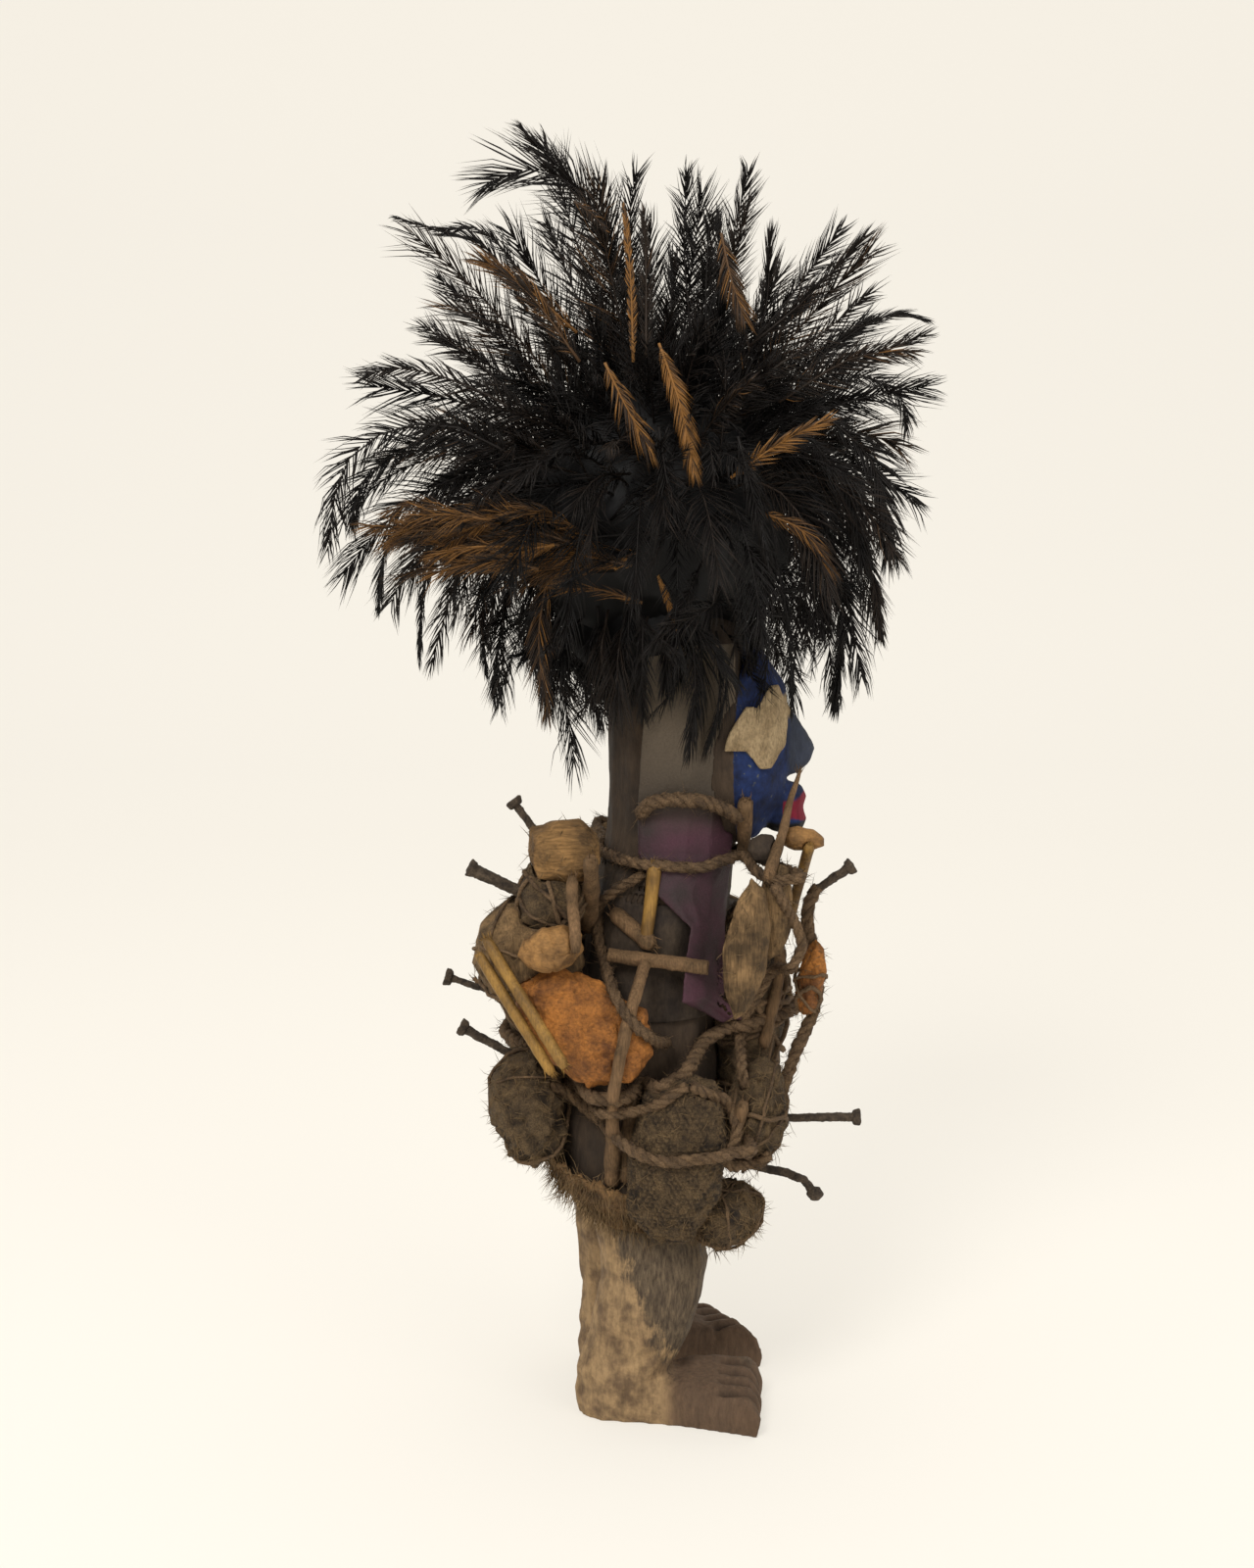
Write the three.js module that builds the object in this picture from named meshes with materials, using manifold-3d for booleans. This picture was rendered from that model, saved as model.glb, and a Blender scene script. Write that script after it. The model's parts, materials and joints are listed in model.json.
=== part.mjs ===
// Power figure: a carved wooden standing figure on two bare feet, wrapped in hides and rope,
// hung with packets, sticks and nails, under a great headdress of dark feathers.
// Millimetres, +Z up, +X the way the face looks, -Y its own right-hand side.

import * as THREE from 'three';
import { mergeVertices } from 'three/addons/utils/BufferGeometryUtils.js';
import Module from 'manifold-3d';

const wasm = await Module();
wasm.setup();

// Sizes that drive the whole object
const BODY_X = 20; // the upright axis of the trunk, seen from above
const GAP = 0.35; // clearance that a piece keeps to the neighbour it is cut by
const FOOT_HEIGHT = 33;
const LEG_SPREAD = 43; // from the middle plane to the middle of a leg
const NECK_Z = 444; // height of the rope around the neck
const CROWN = [22, 0, 625]; // the middle of the feathers
const HIDE_THICK = 2.6;
const NAIL_HEAD = 6;
const NAIL_CAP = 4; // how thick a nail's head is

// Colours, as sRGB
const COLOURS = {
  wood: 0x5b4733,
  pale_skin: 0xb39b75,
  body_hide: 0x3a3028,
  purple_hide: 0x45303a,
  rope: 0x5a4534,
  fibre: 0x54432f,
  bark: 0x7a6343,
  orange_skin: 0x94622c,
  pod: 0x8a6a42,
  reed: 0xa07c3c,
  stick: 0x6a5340,
  iron: 0x47403a,
  feather: 0x161311,
  fur: 0x4a3a2a,
};

const ROUGHNESS = 0.9;
const IRON_METALNESS = 0.4;

const vec = (x, y, z) => new THREE.Vector3(x, y, z);
const radians = THREE.MathUtils.degToRad;
const mix = THREE.MathUtils.lerp;

// A smooth bump field on directions, the same on every run
function ripple(direction, seed) {
  const a = Math.sin(direction.x * 3.1 + seed * 1.7 + direction.y * 2.3);
  const b = Math.sin(direction.y * 4.7 - seed * 2.9 + direction.z * 3.7);
  const c = Math.sin(direction.z * 5.9 + seed * 0.7 - direction.x * 4.1);
  return (a + b + c) / 3;
}

// Moves every vertex of a geometry through a function and returns the geometry
function reshape(geometry, move) {
  const position = geometry.getAttribute('position');
  const point = new THREE.Vector3();
  for (let i = 0; i < position.count; i++) {
    point.fromBufferAttribute(position, i);
    const moved = move(point);
    position.setXYZ(i, moved.x, moved.y, moved.z);
  }
  return geometry;
}

// Only position and shared vertices, which is what makes a surface closed
function welded(geometry) {
  const copy = geometry.clone();
  copy.deleteAttribute('normal');
  copy.deleteAttribute('uv');
  return mergeVertices(copy, 1e-4);
}

function toSolid(geometry) {
  const clean = welded(geometry);
  const mesh = new wasm.Mesh({
    numProp: 3,
    vertProperties: new Float32Array(clean.getAttribute('position').array),
    triVerts: new Uint32Array(clean.getIndex().array),
  });
  return new wasm.Manifold(mesh);
}

function toGeometry(solid) {
  const mesh = solid.getMesh();
  const geometry = new THREE.BufferGeometry();
  geometry.setAttribute('position', new THREE.BufferAttribute(mesh.vertProperties.slice(), 3));
  geometry.setIndex(new THREE.BufferAttribute(mesh.triVerts.slice(), 1));
  geometry.computeVertexNormals();
  return geometry;
}

// The same surface pushed outwards along its vertex normals
function grown(geometry, distance) {
  const clean = welded(geometry);
  clean.computeVertexNormals();
  const position = clean.getAttribute('position');
  const normal = clean.getAttribute('normal');
  for (let i = 0; i < position.count; i++) {
    position.setXYZ(
      i,
      position.getX(i) + normal.getX(i) * distance,
      position.getY(i) + normal.getY(i) * distance,
      position.getZ(i) + normal.getZ(i) * distance,
    );
  }
  return clean;
}

// Joins closed geometries into one
function joined(geometries) {
  let solid = toSolid(geometries[0]);
  for (const geometry of geometries.slice(1)) {
    solid = solid.add(toSolid(geometry));
  }
  return toGeometry(solid);
}

// The part of a geometry that none of the cutters covers
function cut(geometry, cutters) {
  let solid = toSolid(geometry);
  for (const cutter of cutters) {
    solid = solid.subtract(toSolid(cutter));
  }
  return toGeometry(largest(solid));
}

function largest(solid) {
  const bodies = solid.decompose();
  bodies.sort((a, b) => b.volume() - a.volume());
  return bodies[0];
}

// Values between the stations of a list, along one of their keys
function between(stations, key, at) {
  const along = (name, i) => stations[Math.min(Math.max(i, 0), stations.length - 1)][name];
  let i = 0;
  while (i < stations.length - 2 && stations[i + 1][key] < at) {
    i += 1;
  }
  const t = (at - along(key, i)) / (along(key, i + 1) - along(key, i));
  const result = {};
  for (const name of Object.keys(stations[i])) {
    const curve = new THREE.CatmullRomCurve3(
      [-1, 0, 1, 2].map((step) => vec(along(name, i + step), 0, 0)),
      false,
      'catmullrom',
    );
    result[name] = curve.getPoint((1 + THREE.MathUtils.clamp(t, 0, 1)) / 3).x;
  }
  return result;
}

// An upright body with an oval section at each height: x and y are its middle, deep and wide
// its half sizes along X and Y
function upright({ stations, sides, rows, square = 2, swell = () => 1 }) {
  const low = stations[0].z;
  const high = stations[stations.length - 1].z;
  const tube = new THREE.CylinderGeometry(1, 1, 1, sides, rows, false);
  return reshape(tube, (p) => {
    const z = mix(low, high, p.y + 0.5);
    const s = between(stations, 'z', z);
    const angle = Math.atan2(p.x, p.z);
    const radial = Math.hypot(p.x, p.z);
    const cos = Math.cos(angle);
    const sin = Math.sin(angle);
    const round = (Math.abs(cos) ** square + Math.abs(sin) ** square) ** (-1 / square);
    const reach = radial * round * swell(angle, z);
    return vec(s.x + cos * s.deep * reach, s.y + sin * s.wide * reach, z);
  });
}

// A rounded lump, its surface pushed in and out by a ripple
function lump({ at, size, turn = [0, 0, 0], sides = 12, rows = 8, rough = 0.06, seed = 1, box = 2 }) {
  const ball = new THREE.SphereGeometry(1, sides, rows);
  const rotation = new THREE.Euler(...turn.map(radians));
  return reshape(ball, (p) => {
    const d = p.clone().normalize();
    const power = (Math.abs(d.x) ** box + Math.abs(d.y) ** box + Math.abs(d.z) ** box) ** (-1 / box);
    const reach = power * (1 + rough * ripple(d, seed));
    const moved = vec(d.x * size[0] * reach, d.y * size[1] * reach, d.z * size[2] * reach);
    return moved.applyEuler(rotation).add(vec(...at));
  });
}

// A tube along a curve through points, with flat ends
function tube(points, radius, { sides = 6, steps = 8 } = {}) {
  const curve = new THREE.CatmullRomCurve3(points, false, 'centripetal');
  const outline = new THREE.Shape();
  for (let i = 0; i < sides; i++) {
    const angle = (i / sides) * Math.PI * 2;
    const place = [Math.cos(angle) * radius, Math.sin(angle) * radius];
    if (i === 0) {
      outline.moveTo(...place);
    } else {
      outline.lineTo(...place);
    }
  }
  outline.closePath();
  return new THREE.ExtrudeGeometry(outline, { steps, extrudePath: curve, bevelEnabled: false });
}

// A round tube that closes on itself
function ring(points, radius, { sides = 6, steps = 24 } = {}) {
  const curve = new THREE.CatmullRomCurve3(points, true, 'centripetal');
  return new THREE.TubeGeometry(curve, steps, radius, sides, true);
}

// A straight round rod from one point to another, thinner or thicker at its far end
function rod(from, to, radius, endRadius = radius, sides = 7) {
  const length = from.distanceTo(to);
  const shape = new THREE.CylinderGeometry(endRadius, radius, length, sides, 1, false);
  const turn = new THREE.Quaternion().setFromUnitVectors(
    vec(0, 1, 0),
    to.clone().sub(from).normalize(),
  );
  return reshape(shape, (p) => p.clone().applyQuaternion(turn).add(from.clone().lerp(to, 0.5)));
}

// A curved plate: a flat grid of cells with a face on either side, laid on place(u, v, depth)
function plate({ cols, rows, thick, place }) {
  const slab = new THREE.BoxGeometry(1, 1, 1, cols, rows, 1);
  return reshape(slab, (p) => place(p.x + 0.5, p.y + 0.5, (p.z + 0.5) * thick));
}

// The carved figure

// Heights of the trunk, head and neck, from the fork of the legs to the crown
const TRUNK = [
  { z: 128, x: 8, y: 0, deep: 34, wide: 44 },
  { z: 150, x: 5, y: 0, deep: 46, wide: 74 },
  { z: 185, x: 1, y: 0, deep: 55, wide: 77 },
  { z: 225, x: 8, y: 0, deep: 58, wide: 72 },
  { z: 270, x: 14, y: 0, deep: 52, wide: 62 },
  { z: 325, x: 18, y: 0, deep: 46, wide: 58 },
  { z: 370, x: 24, y: 0, deep: 45, wide: 58 },
  { z: 400, x: 29, y: 0, deep: 44, wide: 50 },
  { z: 430, x: 31, y: 0, deep: 44, wide: 44 },
  { z: 480, x: 32, y: 0, deep: 45, wide: 44 },
  { z: 530, x: 38, y: 0, deep: 50, wide: 48 },
  { z: 565, x: 38, y: 0, deep: 44, wide: 42 },
  { z: 585, x: 36, y: 0, deep: 22, wide: 22 },
];

const TRUNK_SIDES = 14;
const TRUNK_SQUARE = 2.3;

// A leg, from inside the foot to inside the hip
const LEG = [
  { z: 6, x: -6, y: 0, deep: 26, wide: 25 },
  { z: 26, x: -5, y: 0, deep: 33, wide: 28 },
  { z: 48, x: 5, y: 0, deep: 35, wide: 30 },
  { z: 75, x: 12, y: 0, deep: 38, wide: 32 },
  { z: 102, x: 13, y: 0, deep: 43, wide: 35 },
  { z: 130, x: 14, y: 0, deep: 43, wide: 35 },
  { z: 168, x: 8, y: -6, deep: 36, wide: 24 },
];

// A foot, given by its heel, its toe line from the big toe to the little toe, and its side
const RIGHT_FOOT = { side: -1, heel: [-12, 40], bigToe: [98, 16], littleToe: [93, 92] };
const LEFT_FOOT = { side: 1, heel: [-12, 42], bigToe: [101, 20], littleToe: [66, 94] };
const TOES = 5;
const TOE_GROOVE = 3.2;
const TOE_LENGTH = 27;

function foot({ side, heel, bigToe, littleToe }) {
  const slab = new THREE.BoxGeometry(1, 1, 1, 5, 6, 2);
  const heelHalf = 25;
  const body = reshape(slab, (p) => {
    const along = p.x + 0.5;
    const across = p.y * 2;
    const up = p.z + 0.5;
    const toe = vec(
      mix(bigToe[0], littleToe[0], p.y + 0.5),
      mix(bigToe[1], littleToe[1], p.y + 0.5),
      0,
    );
    const bend = Math.sqrt(Math.max(0, 1 - across * across * 0.92));
    const back = vec(heel[0] - heelHalf * bend, heel[1] + heelHalf * across, 0);
    const waist = Math.sin(along * Math.PI) * 5 * across;
    const height = mix(FOOT_HEIGHT - 2, FOOT_HEIGHT, along) * (1 - 0.16 * across ** 4);
    const tuck = up > 0.9 ? 3.5 : up < 0.1 ? 1.5 : 0;
    const x = mix(back.x + tuck, toe.x - tuck, along);
    const y = mix(back.y, toe.y, along) - waist - across * tuck;
    const tip = 1 - 0.14 * Math.max(0, along - 0.7) / 0.3;
    return vec(x, side * y, up * height * tip);
  });
  const facing = side > 0 ? body : flipped(body);
  let solid = toSolid(facing);
  for (let i = 1; i < TOES; i++) {
    const t = 0.12 + 0.84 * (i / TOES);
    const front = vec(mix(bigToe[0], littleToe[0], t) + 4, side * mix(bigToe[1], littleToe[1], t), 0);
    const heelward = vec(heel[0] - front.x, side * heel[1] - front.y, 0).normalize();
    const start = front.clone().addScaledVector(heelward, TOE_LENGTH).setZ(FOOT_HEIGHT + 2);
    const floor = front.clone().setZ(FOOT_HEIGHT * 0.3);
    solid = solid.subtract(toSolid(rod(start, floor, TOE_GROOVE * 0.6, TOE_GROOVE * 1.4, 4)));
  }
  return toGeometry(solid);
}

// Turns the faces of a mirrored geometry the right way out
function flipped(geometry) {
  const index = geometry.getIndex();
  for (let i = 0; i < index.count; i += 3) {
    const second = index.getX(i + 1);
    index.setX(i + 1, index.getX(i + 2));
    index.setX(i + 2, second);
  }
  return geometry;
}

function leg(side) {
  const stations = LEG.map((s) => ({ ...s, y: side * (LEG_SPREAD + s.y - s.z * 0.03) }));
  return upright({ stations, sides: 12, rows: 6 });
}

// The face stands out from the front of the head: a long shield with a wedge of a nose and
// a boxed mouth
const FACE = { x: 66, z: 478, deep: 47, wide: 45, tall: 74 };
const NOSE = { bridge: [106, 0, 507], tip: [128, 0, 474], root: [104, 0, 456], half: 10 };
const MOUTH = { x: 111, z: 431, deep: 14, wide: 19, tall: 17 };

function face() {
  const shield = lump({
    at: [FACE.x, 0, FACE.z],
    size: [FACE.deep, FACE.wide, FACE.tall],
    sides: 12,
    rows: 8,
    rough: 0,
    box: 2.5,
  });
  const wedge = new THREE.Shape();
  wedge.moveTo(NOSE.bridge[0], NOSE.bridge[2]);
  wedge.lineTo(NOSE.tip[0], NOSE.tip[2]);
  wedge.lineTo(NOSE.tip[0] - 3, NOSE.tip[2] - 9);
  wedge.lineTo(NOSE.tip[0] - 12, NOSE.tip[2] - 17);
  wedge.lineTo(NOSE.root[0] - 4, NOSE.root[2]);
  wedge.lineTo(NOSE.bridge[0] - 16, NOSE.bridge[2] - 6);
  wedge.closePath();
  const nose = new THREE.ExtrudeGeometry(wedge, {
    depth: NOSE.half,
    bevelThickness: 4,
    bevelSize: 2,
    bevelSegments: 1,
    steps: 1,
  });
  reshape(nose, (p) => {
    const wing = 1 + 0.35 * THREE.MathUtils.clamp((NOSE.bridge[2] - p.y) / 40, 0, 1);
    return vec(p.x, -(p.z - NOSE.half / 2) * wing, p.y);
  });
  const lips = [1, -1].map((up) =>
    lump({
      at: [MOUTH.x, 0, MOUTH.z + up * MOUTH.tall * 0.46],
      size: [MOUTH.deep, MOUTH.wide, MOUTH.tall * 0.6],
      sides: 8,
      rows: 5,
      rough: 0,
      box: 3,
    }),
  );
  return [shield, nose, ...lips];
}

function carvedFigure() {
  const trunk = upright({ stations: TRUNK, sides: TRUNK_SIDES, rows: 11, square: TRUNK_SQUARE });
  return joined([trunk, leg(-1), leg(1), foot(RIGHT_FOOT), foot(LEFT_FOOT), ...face()]);
}

// What is laid on the figure

// Everything that is already in place, so that the next piece can be laid on it
const placed = [];

function place(name, colour, geometry) {
  geometry.computeBoundingBox();
  const mesh = new THREE.Mesh(geometry, new THREE.MeshBasicMaterial({ side: THREE.DoubleSide }));
  placed.push({ name, colour, geometry, mesh, rank: placed.length });
}

// The first surface that a straight look from one point along a direction meets
function firstHit(from, direction) {
  const caster = new THREE.Raycaster(from, direction);
  const hits = caster.intersectObjects(placed.map((piece) => piece.mesh), false);
  return hits.length ? hits[0].point : null;
}

// Looks at the figure start from well outside it
const LOOK_FROM = 300;

// Depth of the surface seen from the figure's right (side -1) or left (side 1), if there is any
function surfaceY(x, z, side) {
  const hit = firstHit(vec(x, side * LOOK_FROM, z), vec(0, -side, 0));
  return hit ? hit.y : null;
}

// Half width of the trunk at a place on its side, for pieces that lie close to it
function trunkHalf(x, z, extra) {
  const s = between(TRUNK, 'z', z);
  const t = THREE.MathUtils.clamp(Math.abs(x - s.x) / (s.deep + extra), 0, 0.97);
  return (s.wide + extra) * (1 - t ** TRUNK_SQUARE) ** (1 / TRUNK_SQUARE);
}

// The edges of a plate that lies on the trunk or the face, by height
function laidPlate({ edges, cols, rows, thick, depthAt, side = -1 }) {
  const low = edges[0].z;
  const high = edges[edges.length - 1].z;
  const shape = plate({
    cols,
    rows,
    thick,
    place: (u, v, depth) => {
      const z = mix(low, high, v);
      const edge = between(edges, 'z', z);
      const x = mix(edge.back, edge.front, u);
      return vec(x, side * (depthAt(x, z) + depth), z);
    },
  });
  return side < 0 ? shape : flipped(shape);
}

// The purple strip of hide: it hangs from under the neck rope, torn along its back edge
const STRIP_EDGES = [
  { z: 290, back: 66, front: 80 },
  { z: 304, back: 43, front: 71 },
  { z: 320, back: 36, front: 68 },
  { z: 338, back: 39, front: 67 },
  { z: 350, back: 33, front: 67 },
  { z: 362, back: 43, front: 68 },
  { z: 378, back: 25, front: 70 },
  { z: 396, back: 9, front: 71 },
  { z: 446, back: 8, front: 76 },
  { z: 552, back: 14, front: 72 },
];
// How far the strip stands off the trunk: its loose lower end hangs away from it
const STRIP_OFF = { atTrunk: 4, looseEnd: 24, snug: 0.5, from: 291, to: 400 };

function stripDepth(x, z) {
  const t = THREE.MathUtils.smoothstep(z, STRIP_OFF.from, STRIP_OFF.to);
  return trunkHalf(x, z, STRIP_OFF.atTrunk) + mix(STRIP_OFF.looseEnd, STRIP_OFF.snug, t);
}

// The hide that wraps the trunk below the neck
const TRUNK_HIDE = { low: 292, high: 398, rows: 3 };

function trunkHide() {
  const proud = HIDE_THICK + GAP;
  const stations = TRUNK.map((s) => ({ ...s, deep: s.deep + proud, wide: s.wide + proud }));
  const { low, high, rows } = TRUNK_HIDE;
  const within = stations.filter((s) => s.z > low + 5 && s.z < high - 5);
  return upright({
    stations: [between(stations, 'z', low), ...within, between(stations, 'z', high)],
    sides: TRUNK_SIDES,
    rows,
    square: TRUNK_SQUARE,
  });
}

// Pale skin patches over the eyes, each a large lobe and a small one behind it
const PATCH_LOBES = [
  [
    { z: 466, back: 90, front: 98 },
    { z: 472, back: 83, front: 106 },
    { z: 484, back: 79, front: 109 },
    { z: 498, back: 81, front: 110 },
    { z: 510, back: 89, front: 108 },
    { z: 521, back: 97, front: 103 },
  ],
  [
    { z: 479, back: 66, front: 82 },
    { z: 490, back: 68, front: 84 },
    { z: 500, back: 74, front: 86 },
    { z: 509, back: 80, front: 86 },
  ],
];
const PATCH_THICK = 3;

function faceHalf(x, z) {
  const box = 2.5;
  const u = Math.abs(x - FACE.x) / FACE.deep;
  const w = Math.abs(z - FACE.z) / FACE.tall;
  const left = Math.max(0.02, 1 - u ** box - w ** box);
  return FACE.wide * left ** (1 / box);
}

function facePatch(side) {
  const lobes = PATCH_LOBES.map((edges) =>
    laidPlate({
      edges,
      cols: 3,
      rows: 4,
      thick: PATCH_THICK + 2,
      depthAt: (x, z) => faceHalf(x, z) - 2,
      side,
    }),
  );
  return joined(lobes);
}

// Packets and bundles: where the middle of each one is, and its half sizes

const HARD = {
  bark_block: {
    at: [-42, -60, 413],
    size: [24, 22, 21],
    turn: [0, -4, 8], box: 4, rough: 0.05,
    colour: 'bark',
  },
  seed_pod: {
    at: [-50, -96, 355],
    size: [23, 15, 17],
    turn: [0, -12, 0], rough: 0.09,
    colour: 'pod',
  },
  orange_skin: {
    at: [-30, -88, 298],
    size: [52, 17, 35],
    turn: [0, 34, -6], rough: 0.1, box: 2.4,
    colour: 'orange_skin',
  },
  leaf_packet: {
    at: [80, -88, 352],
    size: [17, 10, 52],
    turn: [0, 6, 12], rough: 0.05, box: 1.7,
    colour: 'bark',
  },
  bark_slab: {
    at: [100, -70, 374],
    size: [12, 9, 34],
    turn: [0, 4, 0], rough: 0.06, box: 2.6,
    colour: 'bark',
  },
  tan_pod: {
    at: [118, -44, 418],
    size: [18, 9, 9],
    turn: [0, 8, 0], rough: 0.06, box: 1.8,
    colour: 'pod',
  },
  dark_knob: {
    at: [93, -54, 413],
    size: [11, 11, 11],
    rough: 0.04,
    colour: 'body_hide',
  },
  red_pod: {
    at: [127, -38, 317],
    size: [10, 12, 28],
    turn: [0, 10, 0], rough: 0.12,
    colour: 'orange_skin',
  },
};
const SOFT = {
  shoulder_wrap: {
    at: [-50, -60, 382],
    size: [25, 23, 30],
    turn: [0, 12, 0], rough: 0.14,
    colour: 'fibre',
  },
  bark_dome: {
    at: [-68, -46, 338],
    size: [38, 42, 42],
    turn: [0, -10, 0], rough: 0.06,
    colour: 'bark',
  },
  hip_bundle: {
    at: [-68, -42, 228],
    size: [27, 40, 42],
    turn: [0, -14, 0], rough: 0.1, box: 2.5,
    colour: 'fibre',
  },
  woven_bundle: {
    at: [34, -86, 204],
    size: [33, 24, 62],
    turn: [4, 8, 0], rough: 0.04, box: 2.8,
    colour: 'fibre',
  },
  fibre_ball: {
    at: [67, -64, 157],
    size: [28, 27, 25],
    rough: 0.07,
    colour: 'fibre',
  },
  front_low_bundle: {
    at: [88, -58, 226],
    size: [22, 30, 42],
    turn: [0, 12, 0], rough: 0.12,
    colour: 'fibre',
  },
  belly_packet: {
    at: [80, 10, 288],
    size: [36, 48, 74],
    rough: 0.08, box: 2.3, sides: 8, rows: 6,
    colour: 'fibre',
  },
  back_bundle: {
    at: [-56, 26, 300],
    size: [38, 44, 66],
    rough: 0.1, sides: 8, rows: 6,
    colour: 'fibre',
  },
  left_hip_bundle: {
    at: [-42, 66, 224],
    size: [42, 36, 46],
    rough: 0.1, box: 2.4, sides: 8, rows: 6,
    colour: 'fibre',
  },
  left_shoulder_packet: {
    at: [-16, 72, 348],
    size: [46, 32, 56],
    rough: 0.09, box: 2.5, sides: 8, rows: 6,
    colour: 'bark',
  },
  left_side_packet: {
    at: [58, 72, 296],
    size: [44, 32, 60],
    rough: 0.08, box: 2.6, sides: 8, rows: 6,
    colour: 'body_hide',
  },
  left_low_bundle: {
    at: [44, 76, 208],
    size: [42, 32, 56],
    turn: [-4, 0, 0], rough: 0.06, box: 2.6, sides: 8, rows: 6,
    colour: 'fibre',
  },
  brown_plume_band: {
    at: [-72, -64, 606],
    size: [90, 22, 21],
    turn: [0, 3, 4], rough: 0.16,
    colour: 'fur',
  },
};

// Nails: from the point inside the packet to the head outside

const NAILS = {
  nail_upper_back: { head: [-76.6, -42, 443], inner: [-52, -46, 409], shank: 2.3 },
  nail_thick_back: { head: [-105, -60, 401], inner: [-46, -56, 371], shank: 4.2 },
  nail_thin_back: { head: [-125, -20, 313.5], inner: [-92, -22, 303], shank: 2.2 },
  nail_low_back: { head: [-114, -40, 283], inner: [-66, -44, 257], shank: 3 },
  nail_knot: { head: [155, -18, 392.5], inner: [126, -18, 372], shank: 3 },
  nail_front: { head: [162.5, -20, 211], inner: [84, -24, 211.5], shank: 2.9 },
};

function nail({ head, inner, shank }) {
  const top = vec(...head);
  const tip = vec(...inner);
  const axis = top.clone().sub(tip).normalize();
  const crown = top.clone().addScaledVector(axis, NAIL_CAP * 0.4);
  const collar = top.clone().addScaledVector(axis, NAIL_CAP * -0.6);
  const neck = top.clone();
  const cap = rod(collar, crown, NAIL_HEAD * 0.8, NAIL_HEAD, 7);
  return joined([rod(tip, neck, shank * 0.8, shank, 5), cap]);
}

// The bent nail: its shank droops towards its head
const BENT_NAIL = [
  [74, -36, 186],
  [96, -32, 177.5],
  [116, -30, 172.5],
  [127, -29, 166],
  [133, -28, 157],
];

function bentNail() {
  const points = BENT_NAIL.map((p) => vec(...p));
  const last = points[points.length - 1];
  const knob = lump({ at: last.toArray(), size: [5.6, 5.6, 5], sides: 6, rows: 4, rough: 0 });
  return joined([tube(points, 2.8, { sides: 5, steps: 5 }), knob]);
}

// Sticks and reeds: two ends as seen from the right, laid on whatever is under them

const STICKS = {
  shoulder_stick_dark: { from: [-34, 356], to: [-37, 402], radius: 4 },
  shoulder_stick_brown: { from: [-27, 350], to: [-24, 418], radius: 5 },
  long_reed_back: { from: [-100, 347], to: [-50, 272], radius: 3.7, reed: true },
  long_reed_front: { from: [-95, 358], to: [-41, 278], radius: 3.9, reed: true },
  pointed_stick: { from: [-108, 308], to: [-62, 274], radius: 4.8, point: 1.6 },
  side_reed: { from: [12, 352], to: [18, 404], radius: 3.5, reed: true },
  grey_stick: { from: [-11, 368], to: [17, 348], radius: 4 },
  belly_stick_dark: { from: [-11, 180], to: [-9, 262], radius: 4.3 },
  belly_stick_brown: { from: [0, 184], to: [3, 250], radius: 4 },
  thorn_stick: { from: [94, 398], to: [119, 460], radius: 5, end: 1.2 },
  front_reed: { from: [114, 352], to: [124, 416], radius: 3.8, reed: true },
  front_stick: { from: [96, 268], to: [108, 336], radius: 4.2 },
  short_stick: { from: [72, 212], to: [80, 246], radius: 4.2 },
  neck_stick: { from: [81, 402], to: [80, 444], radius: 4 },
};

const STICK_STOPS = 9;

// The depth at which a straight stick of this radius just clears everything along its way
function layStick(from, to, radius, sink) {
  const depthAt = (t) => surfaceY(mix(from[0], to[0], t), mix(from[1], to[1], t), -1);
  const y = [depthAt(0) ?? depthAt(0.25), depthAt(1) ?? depthAt(0.75)];
  let lift = 0;
  for (let i = 0; i < STICK_STOPS; i++) {
    const t = i / (STICK_STOPS - 1);
    const here = depthAt(t);
    if (here !== null) {
      lift = Math.min(lift, here - mix(y[0], y[1], t));
    }
  }
  const out = -radius * (1 - sink) + lift;
  return [vec(from[0], y[0] + out, from[1]), vec(to[0], y[1] + out, to[1])];
}

function stick({ from, to, radius, end = radius, point, reed }) {
  const [a, b] = layStick(from, to, radius, 0.35);
  return rod(a, b, point ?? radius, end, reed ? 7 : 6);
}

// The hollow cane lies across the side, open at its front end
const CANE = { from: [-13, 341], to: [55, 337], radius: 5.2, bore: 2.2, deep: 14 };

function hollowCane() {
  const [a, b] = layStick(CANE.from, CANE.to, CANE.radius, 0.1);
  const axis = b.clone().sub(a).normalize();
  const mouth = b.clone().addScaledVector(axis, 2);
  const floor = b.clone().addScaledVector(axis, -CANE.deep);
  const bore = rod(floor, mouth, CANE.bore, CANE.bore, 5);
  return cut(rod(a, b, CANE.radius, CANE.radius, 8), [bore]);
}

// The bent stick hangs from the cane
const BENT_STICK = { stops: [[12, 338], [4, 318], [-4, 286], [-10, 252]], radius: 4.6 };

// Ropes

// A path over what is in place, through points given as seen from one side
function drape(stops, radius, { side = -1, sink = 0, count = 14 } = {}) {
  const flat = new THREE.CatmullRomCurve3(stops.map(([x, z]) => vec(x, 0, z)));
  const marks = flat.getSpacedPoints(count);
  const depth = marks.map((p) => surfaceY(p.x, p.z, side));
  const known = depth.filter((y) => y !== null);
  const filled = depth.map((y) => (y === null ? known[0] : y));
  return marks.map((p, i) => {
    const near = filled.slice(Math.max(0, i - 1), i + 2);
    const proud = side < 0 ? Math.min(...near) : Math.max(...near);
    const soft = mix(proud, near.reduce((sum, y) => sum + y, 0) / near.length, 0.35);
    return vec(p.x, soft + side * radius * (1 - sink), p.z);
  });
}

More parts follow.
